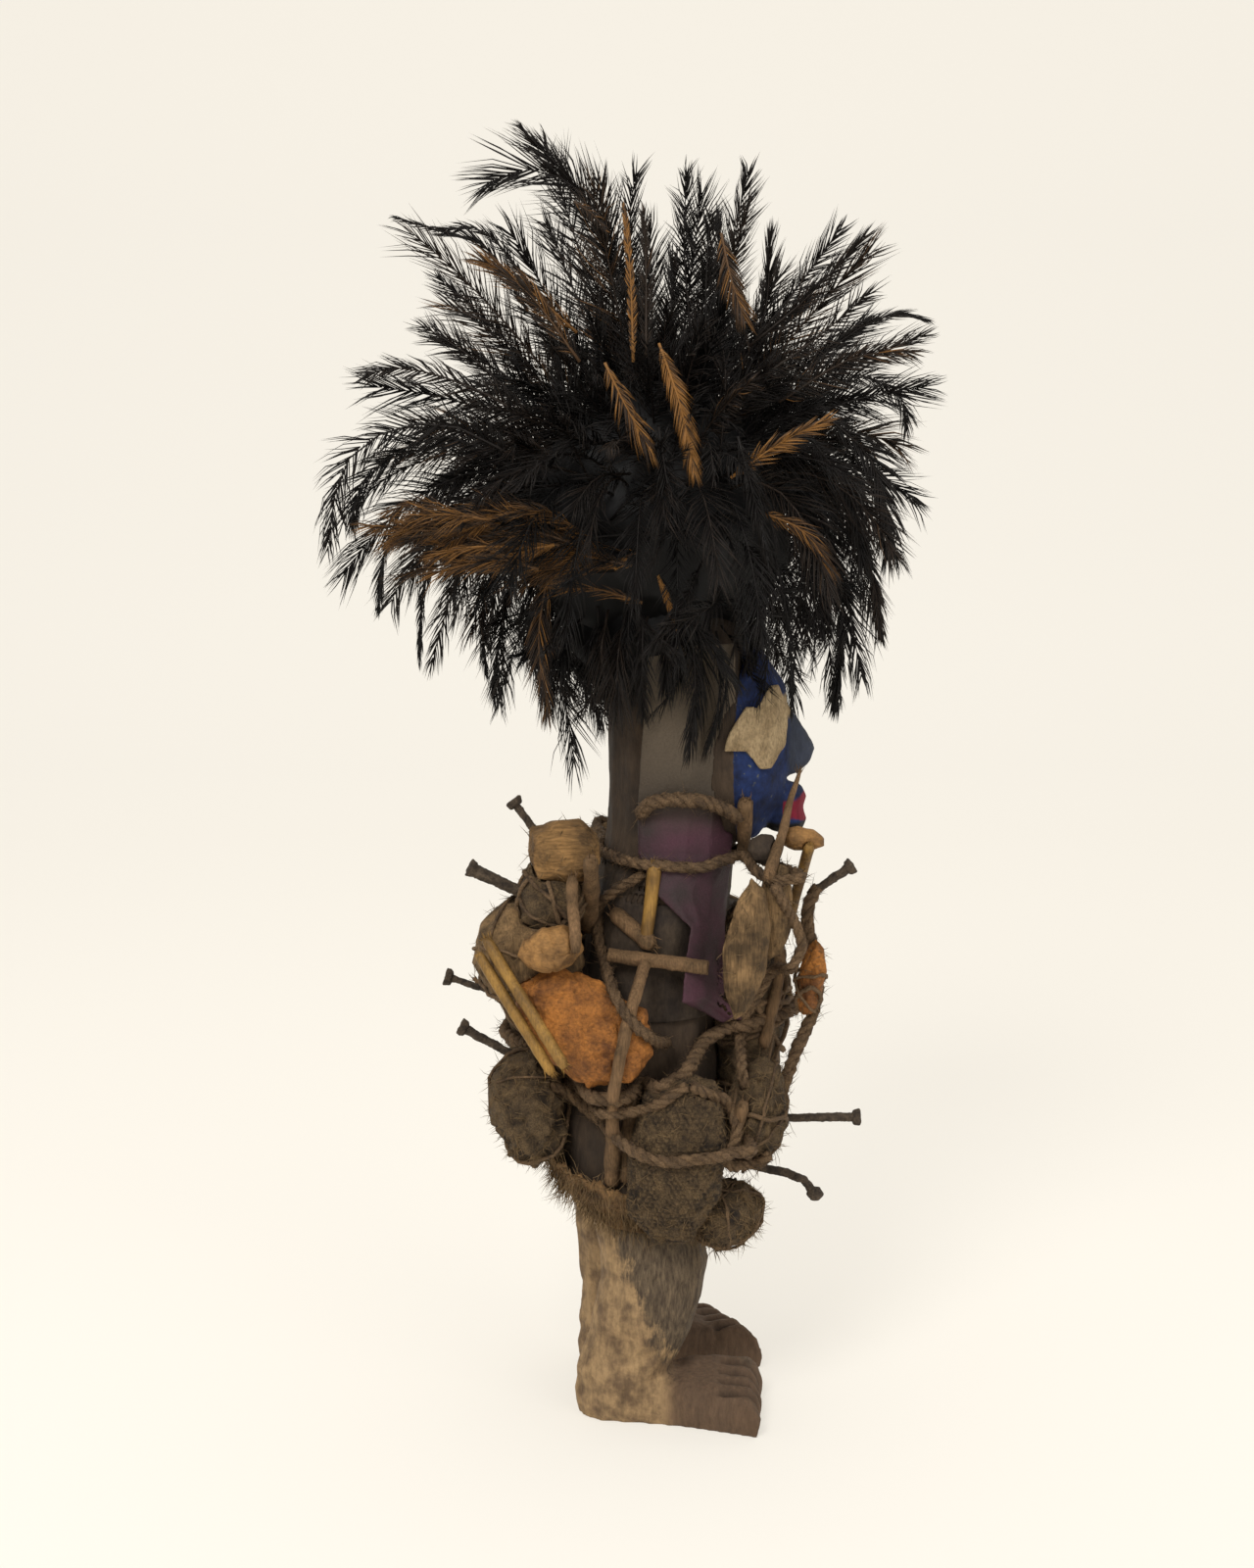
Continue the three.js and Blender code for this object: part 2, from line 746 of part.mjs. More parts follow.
// A path around the upright axis on the hidden side, from one heading to another
function around(start, stop, heightAt, radius, count) {
  const marks = [];
  for (let i = 0; i < count; i++) {
    const t = (i + 0.5) / count;
    const heading = mix(start, stop, t);
    const z = heightAt(t);
    const out = vec(Math.cos(radians(heading)), Math.sin(radians(heading)), 0);
    const axis = vec(BODY_X, 0, z);
    const hit = firstHit(axis.clone().addScaledVector(out, LOOK_FROM), out.clone().negate());
    marks.push(axis.addScaledVector(out, hit.distanceTo(axis) + radius));
  }
  return marks;
}

// The heading of a point about the upright axis, in degrees
const heading = (p) => THREE.MathUtils.radToDeg(Math.atan2(p.y, p.x - BODY_X));

// How far round a rope runs free between its draped side and its hidden side, in degrees
const TURN_OVER = 22;

// A rope that goes all the way round: its right side through stops from the back to the
// front, the rest around the left side
function loop(stops, radius, { count = 13, hidden = 8, steps = 26 } = {}) {
  const near = drape(stops, radius, { count });
  const first = near[0];
  const last = near[near.length - 1];
  const from = heading(last) + TURN_OVER;
  const to = heading(first) + (heading(first) < 0 ? 360 : 0) - TURN_OVER;
  const far = around(from, to, (t) => mix(last.z, first.z, t), radius, hidden);
  return ring([...near, ...far], radius, { sides: 5, steps });
}

const LOOPS = {
  chest_rope: { stops: [[-6, 404], [20, 404], [48, 402], [74, 405], [98, 398], [116, 400]], radius: 4.2 },
  waist_rope_upper: { stops: [[-58, 262], [-18, 250], [20, 256], [60, 280], [84, 286]], radius: 5.4 },
  waist_rope_lower: { stops: [[-52, 248], [-14, 224], [22, 212], [52, 214], [84, 216]], radius: 4.6 },
};

const LENGTHS = {
  shoulder_twine: {
    stops: [[12, 397], [-16, 375], [-20, 350], [-12, 330], [0, 312], [28, 280]],
    radius: 4.2,
    steps: 12,
  },
  front_cross_rope: {
    stops: [[98, 396], [110, 372], [118, 350], [104, 326], [86, 300], [78, 276], [80, 250]],
    radius: 4.2,
    steps: 12,
  },
  middle_twine: { stops: [[-44, 244], [-14, 238], [12, 244], [40, 262]], radius: 4.2, steps: 10 },
  low_front_rope: {
    stops: [[44, 262], [66, 246], [74, 226], [66, 204], [84, 196], [98, 204]],
    radius: 4.4,
    steps: 11,
  },
};

// The rope that ties the hide to the neck: it comes out at the back edge of the strip and
// goes in behind the jaw
const NECK_ROPE = [
  [9, -50, 436],
  [16, -55, 445],
  [32, -59, 449],
  [52, -56, 446],
  [68, -48, 438],
  [76, -42, 431],
];

// The rope down the front, hanging from a knotted ball
const FRONT_ROPE = [
  [132, -18, 378],
  [125, -22, 362],
  [127, -26, 342],
  [132, -30, 316],
  [129, -32, 292],
  [117, -36, 262],
  [106, -40, 232],
  [98, -44, 206],
  [90, -46, 184],
];

function frontRope() {
  const path = FRONT_ROPE.map((p) => vec(...p));
  const knot = lump({ at: FRONT_ROPE[0], size: [11, 11, 11], sides: 7, rows: 5, rough: 0.12 });
  return joined([tube(path, 5, { sides: 5, steps: 11 }), knot]);
}

// The fibre sling under the hips, thick and flattened
function hipSling() {
  const stops = [[-60, 188], [-40, 176], [-18, 160], [6, 148], [30, 142], [52, 146]];
  const near = drape(stops, 8, { count: 9, sink: 0.75 });
  return tube(near, 8, { sides: 6, steps: 10 });
}

// Feathers

// Plumes that make the outline: heading of the tip in the side view, up from the front
// horizon, its reach from the crown, and how far the tip droops
const PLUMES = [
  [-57, 172, 70], [-48, 187, 90], [-38, 176, 70], [-29, 179, 84], [-10, 170, 60], [4, 180, 40],
  [16, 180, 30], [28, 207, 16], [35, 232, 12], [44, 205, 8], [53, 240, 10], [64, 196, 4],
  [75, 237, 0], [83, 236, 0], [92, 210, 0], [101, 240, 0], [107, 284, 10], [117, 232, 6],
  [131, 270, 30], [141, 205, 14], [154, 224, 14], [168, 200, 24], [182, 228, 74], [190, 222, 70],
  [199, 204, 64], [213, 190, 70], [230, 172, 60], [243, 168, 50], [252, 182, 60],
];
const FILL_PLUMES = 18;
const HANGING = 8;
const GOLDEN_ANGLE = 137.508;
const PLUME = { wide: 31, high: 3.2, root: 0.4, tip: 0.2, start: 66, lift: 0.55 };

// A step from the crown in the side view, and one by compass turn and lift
const sideways = (degrees, reach) =>
  vec(Math.cos(radians(degrees)), 0, Math.sin(radians(degrees))).multiplyScalar(reach);
const upwards = (turn, lift, reach) =>
  vec(
    Math.cos(radians(turn)) * Math.cos(radians(lift)),
    Math.sin(radians(turn)) * Math.cos(radians(lift)),
    Math.sin(radians(lift)),
  ).multiplyScalar(reach);

// A plume: three-sided like a roof along its quill, leaving the crown one way and drooping
// towards its tip
function plume({ root, leave, tip, droop, spin, steps = 3 }) {
  const reach = root.distanceTo(tip);
  const rise = root.clone().addScaledVector(leave, reach * 0.4);
  const crest = tip.clone().lerp(root, 0.25).add(vec(0, 0, droop * 0.7));
  const quill = new THREE.CubicBezierCurve3(root, rise, crest, tip);
  const shape = new THREE.CylinderGeometry(1, 1, 1, 3, steps, false);
  return reshape(shape, (p) => {
    const t = p.y + 0.5;
    const along = quill.getTangent(t);
    const lateral = along.clone().cross(leave.clone().add(vec(0.01, 0.02, 0.6))).normalize();
    lateral.applyAxisAngle(along, spin);
    const normal = lateral.clone().cross(along);
    const fill = mix(PLUME.root, 1, THREE.MathUtils.smoothstep(t, 0, 0.6)) * (t > 0.99 ? PLUME.tip : 1);
    const angle = Math.atan2(p.x, p.z);
    const out = Math.hypot(p.x, p.z);
    return quill
      .getPoint(t)
      .addScaledVector(lateral, Math.sin(angle) * out * PLUME.wide * 0.5 * fill)
      .addScaledVector(normal, Math.cos(angle) * out * PLUME.high * Math.max(0.5, fill));
  });
}

function headdress() {
  const crown = vec(...CROWN);
  const heart = lump({
    at: [CROWN[0] - 4, 0, CROWN[2] + 6],
    size: [112, 104, 112],
    sides: 10,
    rows: 7,
    rough: 0.14,
    seed: 3,
  });
  const collar = lump({ at: [22, 0, 545], size: [70, 68, 52], sides: 10, rows: 5, rough: 0.1, seed: 5 });
  const plumes = [heart, collar];
  const steepest = 90;
  PLUMES.forEach(([degrees, reach, droop], i) => {
    const sway = Math.sin(i * 2.4) * 42;
    const tip = crown.clone().add(sideways(degrees, reach)).add(vec(0, sway, 0));
    const start = mix(degrees, steepest, PLUME.lift * Math.abs(degrees - steepest) / 150);
    const leave = sideways(start, 1);
    const root = crown.clone().addScaledVector(leave, PLUME.start).add(vec(0, sway * 0.4, 0));
    const spin = Math.PI / 2 + Math.sin(i * 1.7) * 0.4;
    plumes.push(plume({ root, leave, tip, droop, spin }));
  });
  for (let i = 0; i < FILL_PLUMES; i++) {
    const lift = -36 + 112 * ((i + 0.5) / FILL_PLUMES);
    const turn = i * GOLDEN_ANGLE;
    const reach = mix(165, 222, THREE.MathUtils.smoothstep(lift, 0, 70)) * (1 + 0.09 * Math.sin(i * 3.3));
    const droop = mix(80, 6, THREE.MathUtils.smoothstep(lift, -30, 45));
    const tip = crown.clone().add(upwards(turn, lift, reach));
    const leave = upwards(turn, mix(lift, 90, PLUME.lift * (90 - lift) / 150), 1);
    const root = crown.clone().addScaledVector(leave, PLUME.start);
    plumes.push(plume({ root, leave, tip, droop, spin: Math.sin(i * 1.3) * 0.5 }));
  }
  for (let i = 0; i < HANGING; i++) {
    const turn = 40 + (280 * i) / (HANGING - 1);
    const out = vec(Math.cos(radians(turn)), Math.sin(radians(turn)), 0);
    const top = vec(24, 0, 566).addScaledVector(out, 44);
    const tip = vec(24, 0, 470 + 14 * Math.sin(i * 2.1)).addScaledVector(out, 74);
    plumes.push(plume({ root: top, leave: out, tip, droop: 50, spin: 0 }));
  }
  return joined(plumes);
}

// Everything together

place('carved_figure', 'wood', carvedFigure());
place('trunk_hide', 'body_hide', trunkHide());
place('purple_hide_strip', 'purple_hide', laidPlate({
  edges: STRIP_EDGES,
  cols: 4,
  rows: 11,
  thick: HIDE_THICK,
  depthAt: stripDepth,
}));
place('pale_patch_right', 'pale_skin', facePatch(-1));
place('pale_patch_left', 'pale_skin', facePatch(1));
for (const [name, sizes] of Object.entries(HARD)) {
  place(name, sizes.colour, lump({ sides: 9, rows: 6, seed: placed.length, ...sizes }));
}
for (const [name, sizes] of Object.entries(SOFT)) {
  place(name, sizes.colour, lump({ sides: 9, rows: 6, seed: placed.length, ...sizes }));
}
// The sticks are laid on what is under them before any of them is in place
const sticks = Object.entries(STICKS).map(([name, sizes]) => [name, sizes, stick(sizes)]);
for (const [name, sizes, geometry] of sticks) {
  place(name, sizes.reed ? 'reed' : 'stick', geometry);
}
place('hollow_cane', 'stick', hollowCane());
const { stops, radius } = BENT_STICK;
const bentPath = drape(stops, radius, { count: 6, sink: 0.2 });
place('bent_stick', 'stick', tube(bentPath, radius, { sides: 6, steps: 6 }));
place('neck_rope', 'rope', tube(NECK_ROPE.map((p) => vec(...p)), 5.6, { sides: 6, steps: 12 }));
for (const [name, { stops, radius }] of Object.entries(LOOPS)) {
  place(name, 'rope', loop(stops, radius));
}
for (const [name, { stops, radius, steps }] of Object.entries(LENGTHS)) {
  place(name, 'rope', tube(drape(stops, radius, { count: steps }), radius, { sides: 5, steps }));
}
place('front_rope', 'rope', frontRope());
place('hip_sling', 'fibre', hipSling());
for (const [name, sizes] of Object.entries(NAILS)) {
  place(name, 'iron', nail(sizes));
}
place('nail_bent', 'iron', bentNail());
place('feather_headdress', 'feather', headdress());

// Firm pieces keep their whole form, and a softer one gives way where the two meet
const FIRMEST_FIRST = [
  'wood', 'body_hide', 'purple_hide', 'pale_skin', 'iron', 'reed', 'stick', 'hard', 'rope', 'fibre',
  'packed', 'feather',
];

function firmness({ name, colour }) {
  const kind = name in HARD ? 'hard' : name in SOFT ? 'packed' : colour;
  return FIRMEST_FIRST.indexOf(kind);
}

const ordered = [...placed].sort((a, b) => firmness(a) - firmness(b) || a.rank - b.rank);
const part = new THREE.Group();
const done = [];
for (const piece of ordered) {
  const box = piece.geometry.boundingBox.clone().expandByScalar(GAP);
  const cutters = done.filter((other) => other.box.intersectsBox(box)).flatMap((other) => other.cutters);
  const geometry = cutters.length ? cut(piece.geometry, cutters) : welded(piece.geometry);
  const mesh = new THREE.Mesh(
    geometry,
    new THREE.MeshStandardMaterial({
      color: COLOURS[piece.colour],
      roughness: ROUGHNESS,
      metalness: piece.colour === 'iron' ? IRON_METALNESS : 0,
    }),
  );
  mesh.name = piece.name;
  part.add(mesh);
  done.push({ box: piece.geometry.boundingBox, cutters: [grown(piece.geometry, GAP), geometry] });
}

// The whole stands on the floor, its outer box centred on the upright axis
const whole = new THREE.Box3().setFromObject(part);
const middle = whole.getCenter(vec(0, 0, 0));
part.position.set(-middle.x, -middle.y, -whole.min.z);

export default part;
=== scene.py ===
"""Looks of a wooden power figure, hung with packets, ropes and nails and crowned with feathers.

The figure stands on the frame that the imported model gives. Sizes are millimetres in the figure's
own layout: +X the way the face looks, -Y its right-hand side, +Z up. The middle of the right
sole ties that layout to the frame.
"""

from __future__ import annotations

import itertools
import json
import logging
import math
from collections.abc import Callable, Iterable, Sequence
from dataclasses import dataclass, field
from enum import Enum

import bmesh
import bpy
import numpy as np
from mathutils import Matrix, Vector
from mathutils.bvhtree import BVHTree


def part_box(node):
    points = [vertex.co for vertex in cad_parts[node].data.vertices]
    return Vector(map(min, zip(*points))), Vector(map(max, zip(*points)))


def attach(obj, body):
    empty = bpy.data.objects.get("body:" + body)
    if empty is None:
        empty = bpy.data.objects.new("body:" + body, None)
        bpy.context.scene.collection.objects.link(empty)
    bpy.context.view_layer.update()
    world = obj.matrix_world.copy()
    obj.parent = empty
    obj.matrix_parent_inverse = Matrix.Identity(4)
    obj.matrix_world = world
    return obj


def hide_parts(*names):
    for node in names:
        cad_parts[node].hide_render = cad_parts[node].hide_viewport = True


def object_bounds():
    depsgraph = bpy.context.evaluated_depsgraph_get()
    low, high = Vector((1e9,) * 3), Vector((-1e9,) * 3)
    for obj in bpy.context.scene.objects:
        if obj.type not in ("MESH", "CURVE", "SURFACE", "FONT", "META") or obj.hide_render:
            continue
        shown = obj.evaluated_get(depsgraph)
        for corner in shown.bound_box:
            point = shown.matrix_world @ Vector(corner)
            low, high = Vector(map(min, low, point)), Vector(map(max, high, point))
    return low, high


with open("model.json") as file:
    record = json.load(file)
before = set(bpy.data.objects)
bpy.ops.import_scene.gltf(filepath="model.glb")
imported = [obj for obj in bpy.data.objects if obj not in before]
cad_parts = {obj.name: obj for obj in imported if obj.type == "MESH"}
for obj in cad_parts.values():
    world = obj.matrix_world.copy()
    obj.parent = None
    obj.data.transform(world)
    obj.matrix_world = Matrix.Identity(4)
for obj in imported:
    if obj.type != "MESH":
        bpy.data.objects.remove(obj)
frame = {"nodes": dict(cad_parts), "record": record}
CAD_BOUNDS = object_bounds()

log = logging.getLogger("figure")

MM = 0.001
RIGHT_SOLE = np.array([40.0, -48.0, 0.0])
SHIFT = np.array(frame["record"]["mounts"][0]["pos_m"]) / MM - RIGHT_SOLE

UP = np.array([0.0, 0.0, 1.0])
BODY_X = 20.0
TAU = math.tau


def degrees(angle: float) -> float:
    """Turns degrees into radians."""
    return math.radians(angle)


def unit(vectors: np.ndarray) -> np.ndarray:
    """Scales vectors, the last axis being x, y, z, to length one."""
    return vectors / np.maximum(np.linalg.norm(vectors, axis=-1, keepdims=True), 1e-9)


def mix(a: np.ndarray | float, b: np.ndarray | float, t: np.ndarray | float) -> np.ndarray | float:
    """Goes from a to b as t goes from 0 to 1."""
    return a + (b - a) * t


def smoothstep(low: float, high: float, x: np.ndarray | float) -> np.ndarray | float:
    """Rises smoothly from 0 at low to 1 at high."""
    t = np.clip((x - low) / (high - low), 0.0, 1.0)
    return t * t * (3 - 2 * t)


class Ripple:
    """Smooth seeded noise in space, the same on every run."""

    CELLS = 24

    def __init__(self, seed: int) -> None:
        """Fills a block of random values.

        Args:
            seed: which noise this is.
        """
        self.table = np.random.default_rng(seed).uniform(-1, 1, (self.CELLS,) * 3)

    def at(self, points: np.ndarray, size: float | Sequence[float], octaves: int = 1) -> np.ndarray:
        """Gives the noise at points.

        Args:
            points: places, the last axis being x, y, z.
            size: the size of a bump in millimetres, or one size for each axis.
            octaves: how many finer layers are added, each half as large and half as strong.

        Returns:
            A value of about -1 to 1 for each point.
        """
        total = np.zeros(points.shape[:-1])
        for octave in range(octaves):
            scaled = points / (np.asarray(size, float) / 2**octave) + 11.3 * octave
            cell = np.floor(scaled).astype(int)
            part = scaled - cell
            part = part * part * (3 - 2 * part)
            for corner in itertools.product((0, 1), repeat=3):
                weight = np.prod(np.where(np.array(corner), part, 1 - part), axis=-1)
                index = (cell + np.array(corner)) % self.CELLS
                total += weight * self.table[index[..., 0], index[..., 1], index[..., 2]] / 2**octave
        return total


def curve_through(
    points: Sequence[Sequence[float]] | np.ndarray, count: int, closed: bool = False
) -> np.ndarray:
    """Draws a smooth curve through points.

    Args:
        points: places to pass through.
        count: how many evenly spaced places are given back.
        closed: whether the curve comes back to its start.

    Returns:
        An array of count places.
    """
    stops = np.asarray(points, float)
    if closed:
        stops = np.vstack([stops[-1:], stops, stops[:2]])
    else:
        stops = np.vstack([2 * stops[:1] - stops[1:2], stops, 2 * stops[-1:] - stops[-2:-1]])
    fine = []
    for a, b, c, d in zip(stops, stops[1:], stops[2:], stops[3:]):
        t = np.linspace(0, 1, 16, endpoint=False)[:, None]
        fine.append(
            0.5 * (2 * b + (c - a) * t + (2 * a - 5 * b + 4 * c - d) * t**2 + (3 * b - a - 3 * c + d) * t**3)
        )
    fine.append(stops[-2][None])
    line = np.vstack(fine)
    length = np.concatenate([[0], np.cumsum(np.linalg.norm(np.diff(line, axis=0), axis=1))])
    marks = np.linspace(0, length[-1], count + 1 if closed else count)[:count]
    return np.stack([np.interp(marks, length, line[:, k]) for k in range(3)], axis=1)


def run_of(path: np.ndarray) -> float:
    """Measures the length of a path of points."""
    return float(np.linalg.norm(np.diff(path, axis=0), axis=1).sum())


def frames_along(path: np.ndarray, closed: bool = False) -> tuple[np.ndarray, np.ndarray, np.ndarray]:
    """Gives a direction and two cross directions, without twist, at each point of a path."""
    if closed:
        along = unit(np.roll(path, -1, axis=0) - np.roll(path, 1, axis=0))
    else:
        along = unit(np.gradient(path, axis=0))
    side = np.empty_like(path)
    start = np.cross(along[0], UP)
    side[0] = unit(start if np.linalg.norm(start) > 0.05 else np.array([1.0, 0.0, 0.0]))
    for i in range(1, len(path)):
        side[i] = side[i - 1] - along[i] * np.dot(side[i - 1], along[i])
        side[i] = unit(side[i])
    return along, side, np.cross(along, side)


@dataclass
class Shape:
    """A small closed shape made with mesh operators: a rod whose points are kept by place.

    Attributes:
        around: the direction of each point in the cross section, two numbers a point.
        along: how far along the rod each point is, from 0 to 1.
        triangles: triangles as rows of three point numbers.
        quads: four-sided faces as rows of four point numbers.
    """

    around: np.ndarray
    along: np.ndarray
    triangles: np.ndarray
    quads: np.ndarray

    @classmethod
    def rod(cls, sides: int, steps: int, pointed: bool = False) -> Shape:
        """Makes a rod.

        Args:
            sides: sides of its cross section.
            steps: stretches along it.
            pointed: whether its far end closes to a point.

        Returns:
            The rod, one long and one thick in radius.
        """
        mesh = bmesh.new()
        bmesh.ops.create_cone(mesh, cap_ends=True, segments=sides, radius1=1, radius2=1, depth=1)
        lengthwise = [e for e in mesh.edges if abs(e.verts[0].co.z - e.verts[1].co.z) > 0.5]
        if steps > 1:
            bmesh.ops.subdivide_edges(mesh, edges=lengthwise, cuts=steps - 1)
        if pointed:
            tip = [v for v in mesh.verts if v.co.z > 0.499]
            bmesh.ops.pointmerge(mesh, verts=tip, merge_co=(0, 0, 0.5))
        mesh.verts.ensure_lookup_table()
        mesh.verts.index_update()
        corners = [[v.index for v in face.verts] for face in mesh.faces]
        ends = [row for row in corners if len(row) > 4]
        for row in ends:
            corners.remove(row)
            corners.extend([row[0], row[i], row[i + 1]] for i in range(1, len(row) - 1))
        co = np.array([v.co for v in mesh.verts])
        mesh.free()
        return cls(
            around=co[:, :2],
            along=co[:, 2] + 0.5,
            triangles=np.array([row for row in corners if len(row) == 3], int).reshape(-1, 3),
            quads=np.array([row for row in corners if len(row) == 4], int).reshape(-1, 4),
        )


@dataclass
class Pile:
    """Many shapes gathered into one mesh, with values that its material reads.

    Attributes:
        points: blocks of places.
        triangles: blocks of triangles.
        quads: blocks of four-sided faces.
        values: blocks of values by name, one for each point.
        count: points so far.
    """

    points: list[np.ndarray] = field(default_factory=list)
    triangles: list[np.ndarray] = field(default_factory=list)
    quads: list[np.ndarray] = field(default_factory=list)
    values: dict[str, list[np.ndarray]] = field(default_factory=dict)
    count: int = 0

    def add(self, shape: Shape, places: np.ndarray, **values: np.ndarray | float) -> None:
        """Adds copies of a shape.

        Args:
            shape: the shape that is repeated.
            places: where each copy's points are, as copies by points by three.
            values: for each name a number, or one for each copy, or one for each point.
        """
        copies, per_copy = places.shape[:2]
        start = self.count + per_copy * np.arange(copies)[:, None, None]
        self.triangles.append((shape.triangles[None] + start).reshape(-1, 3))
        self.quads.append((shape.quads[None] + start).reshape(-1, 4))
        self.points.append(places.reshape(-1, 3))
        for name, value in values.items():
            block = np.asarray(value, float)
            if block.ndim == 1:
                block = block[:, None]
            full = np.broadcast_to(block, (copies, per_copy))
            self.values.setdefault(name, []).append(full.reshape(-1))
        self.count += copies * per_copy

    def add_tube(self, path: np.ndarray, radius: np.ndarray | float, sides: int = 6, **values: float) -> None:
        """Adds one round tube along a path.

        Args:
            path: its middle line.
            radius: one radius, or one for each point of the path.
            sides: sides of its cross section.
            values: numbers for the material.
        """
        shape = Shape.rod(sides, len(path) - 1)
        _, side, up = frames_along(path)
        step = np.rint(shape.along * (len(path) - 1)).astype(int)
        reach = np.broadcast_to(np.asarray(radius, float), (len(path),))[step][:, None]
        place = path[step] + (side[step] * shape.around[:, :1] + up[step] * shape.around[:, 1:]) * reach
        self.add(shape, place[None], **values)

    def build(self, name: str, material: bpy.types.Material, smooth: bool = True) -> bpy.types.Object:
        """Makes the object.

        Args:
            name: its name.
            material: its finish.
            smooth: whether it is shaded smooth.

        Returns:
            The new object, in the frame.
        """
        points = np.vstack(self.points)
        data = mesh_from(points, np.vstack(self.triangles), np.vstack(self.quads))
        for value_name, blocks in self.values.items():
            set_value(data, value_name, np.concatenate(blocks))
        data.polygons.foreach_set("use_smooth", np.full(len(data.polygons), smooth))
        return new_object(name, data, material)


def mesh_from(points: np.ndarray, triangles: np.ndarray, quads: np.ndarray) -> bpy.types.Mesh:
    """Makes a mesh in the frame out of places in the figure's layout."""
    data = bpy.data.meshes.new("mesh")
    data.vertices.add(len(points))
    data.vertices.foreach_set("co", ((points + SHIFT) * MM).astype(np.float32).ravel())
    corners = np.concatenate([triangles.ravel(), quads.ravel()]).astype(np.int32)
    starts = np.concatenate(
        [3 * np.arange(len(triangles)), 3 * len(triangles) + 4 * np.arange(len(quads))]
    ).astype(np.int32)
    data.loops.add(len(corners))
    data.loops.foreach_set("vertex_index", corners)
    data.polygons.add(len(starts))
    data.polygons.foreach_set("loop_start", starts)
    data.update(calc_edges=True)
    return data


def set_value(data: bpy.types.Mesh, name: str, values: np.ndarray) -> None:
    """Keeps one number for each point, for the material to read."""
    attribute = data.attributes.new(name, "FLOAT", "POINT")
    attribute.data.foreach_set("value", values.astype(np.float32))


def new_object(name: str, data: bpy.types.Mesh, material: bpy.types.Material) -> bpy.types.Object:
    """Puts a mesh into the scene under a name, with its finish."""
    data.materials.clear()
    data.materials.append(material)
    piece = bpy.data.objects.new(name, data)
    bpy.context.scene.collection.objects.link(piece)
    return piece


def declare(piece: bpy.types.Object, slot: str, *nodes: str) -> None:
    """Makes a piece ride on the body and hides the nodes that it stands for."""
    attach(piece, "root")
    if nodes:
        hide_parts(*nodes)
    faces = sum(len(polygon.vertices) - 2 for polygon in piece.data.polygons)
    log.info("%s: %d triangles", piece.name, faces)


@dataclass
class Sculpt:
    """A copy of a solid, made fine and even, whose points are then moved.

    Attributes:
        data: the fine mesh, in the frame.
        points: its places in the figure's layout.
        normals: its outward directions.
    """

    data: bpy.types.Mesh
    points: np.ndarray
    normals: np.ndarray

    @classmethod
    def of_node(cls, node: str, voxel: float, soften: int, lighten: float = 1.0) -> Sculpt:
        """Copies a node and remeshes it.

        Args:
            node: the node's name.
            voxel: the size of the new faces, in millimetres.
            soften: how often the facets are smoothed.
            lighten: the share of the faces that is kept.

        Returns:
            The copy.
        """
        shell = bmesh.new()
        shell.from_mesh(frame["nodes"][node].data)
        bmesh.ops.remove_doubles(shell, verts=shell.verts, dist=0.01 * MM)
        data = bpy.data.meshes.new(node)
        shell.to_mesh(data)
        shell.free()
        temporary = bpy.data.objects.new("temporary", data)
        bpy.context.scene.collection.objects.link(temporary)
        remesh = temporary.modifiers.new("fine", "REMESH")
        remesh.mode = "VOXEL"
        remesh.voxel_size = voxel * MM
        if soften:
            smooth = temporary.modifiers.new("soften", "SMOOTH")
            smooth.factor = 0.5
            smooth.iterations = soften
        if lighten < 1:
            fewer = temporary.modifiers.new("fewer", "DECIMATE")
            fewer.ratio = lighten
        graph = bpy.context.evaluated_depsgraph_get()
        fine = bpy.data.meshes.new_from_object(temporary.evaluated_get(graph))
        bpy.data.objects.remove(temporary)
        bpy.data.meshes.remove(data)
        sculpt = cls(fine, np.empty(0), np.empty(0))
        sculpt.read()
        return sculpt

    def read(self) -> None:
        """Reads places and directions from the mesh."""
        flat = np.empty(len(self.data.vertices) * 3, np.float32)
        self.data.vertices.foreach_get("co", flat)
        self.points = flat.reshape(-1, 3).astype(float) / MM - SHIFT
        self.data.vertex_normals.foreach_get("vector", flat)
        self.normals = flat.reshape(-1, 3).astype(float)

    def write(self) -> None:
        """Puts the moved places back into the mesh and reads the new directions."""
        self.data.vertices.foreach_set("co", ((self.points + SHIFT) * MM).astype(np.float32).ravel())
        self.data.update()
        self.read()

    def push(self, amount: np.ndarray | float) -> None:
        """Moves every point along its outward direction by an amount in millimetres."""
        reach = np.broadcast_to(amount, len(self.points))
        self.points = self.points + self.normals * reach[:, None]
        self.write()

    def build(self, name: str, material: bpy.types.Material) -> bpy.types.Object:
        """Makes the object, shaded smooth."""
        self.data.polygons.foreach_set("use_smooth", np.full(len(self.data.polygons), True))
        return new_object(name, self.data, material)


Colour = tuple[float, float, float]


def colour(code: str) -> Colour:
    """Turns a colour written as six hex digits into linear values."""
    parts = [int(code[i : i + 2], 16) / 255 for i in (0, 2, 4)]
    return tuple(p / 12.92 if p <= 0.04045 else ((p + 0.055) / 1.055) ** 2.4 for p in parts)


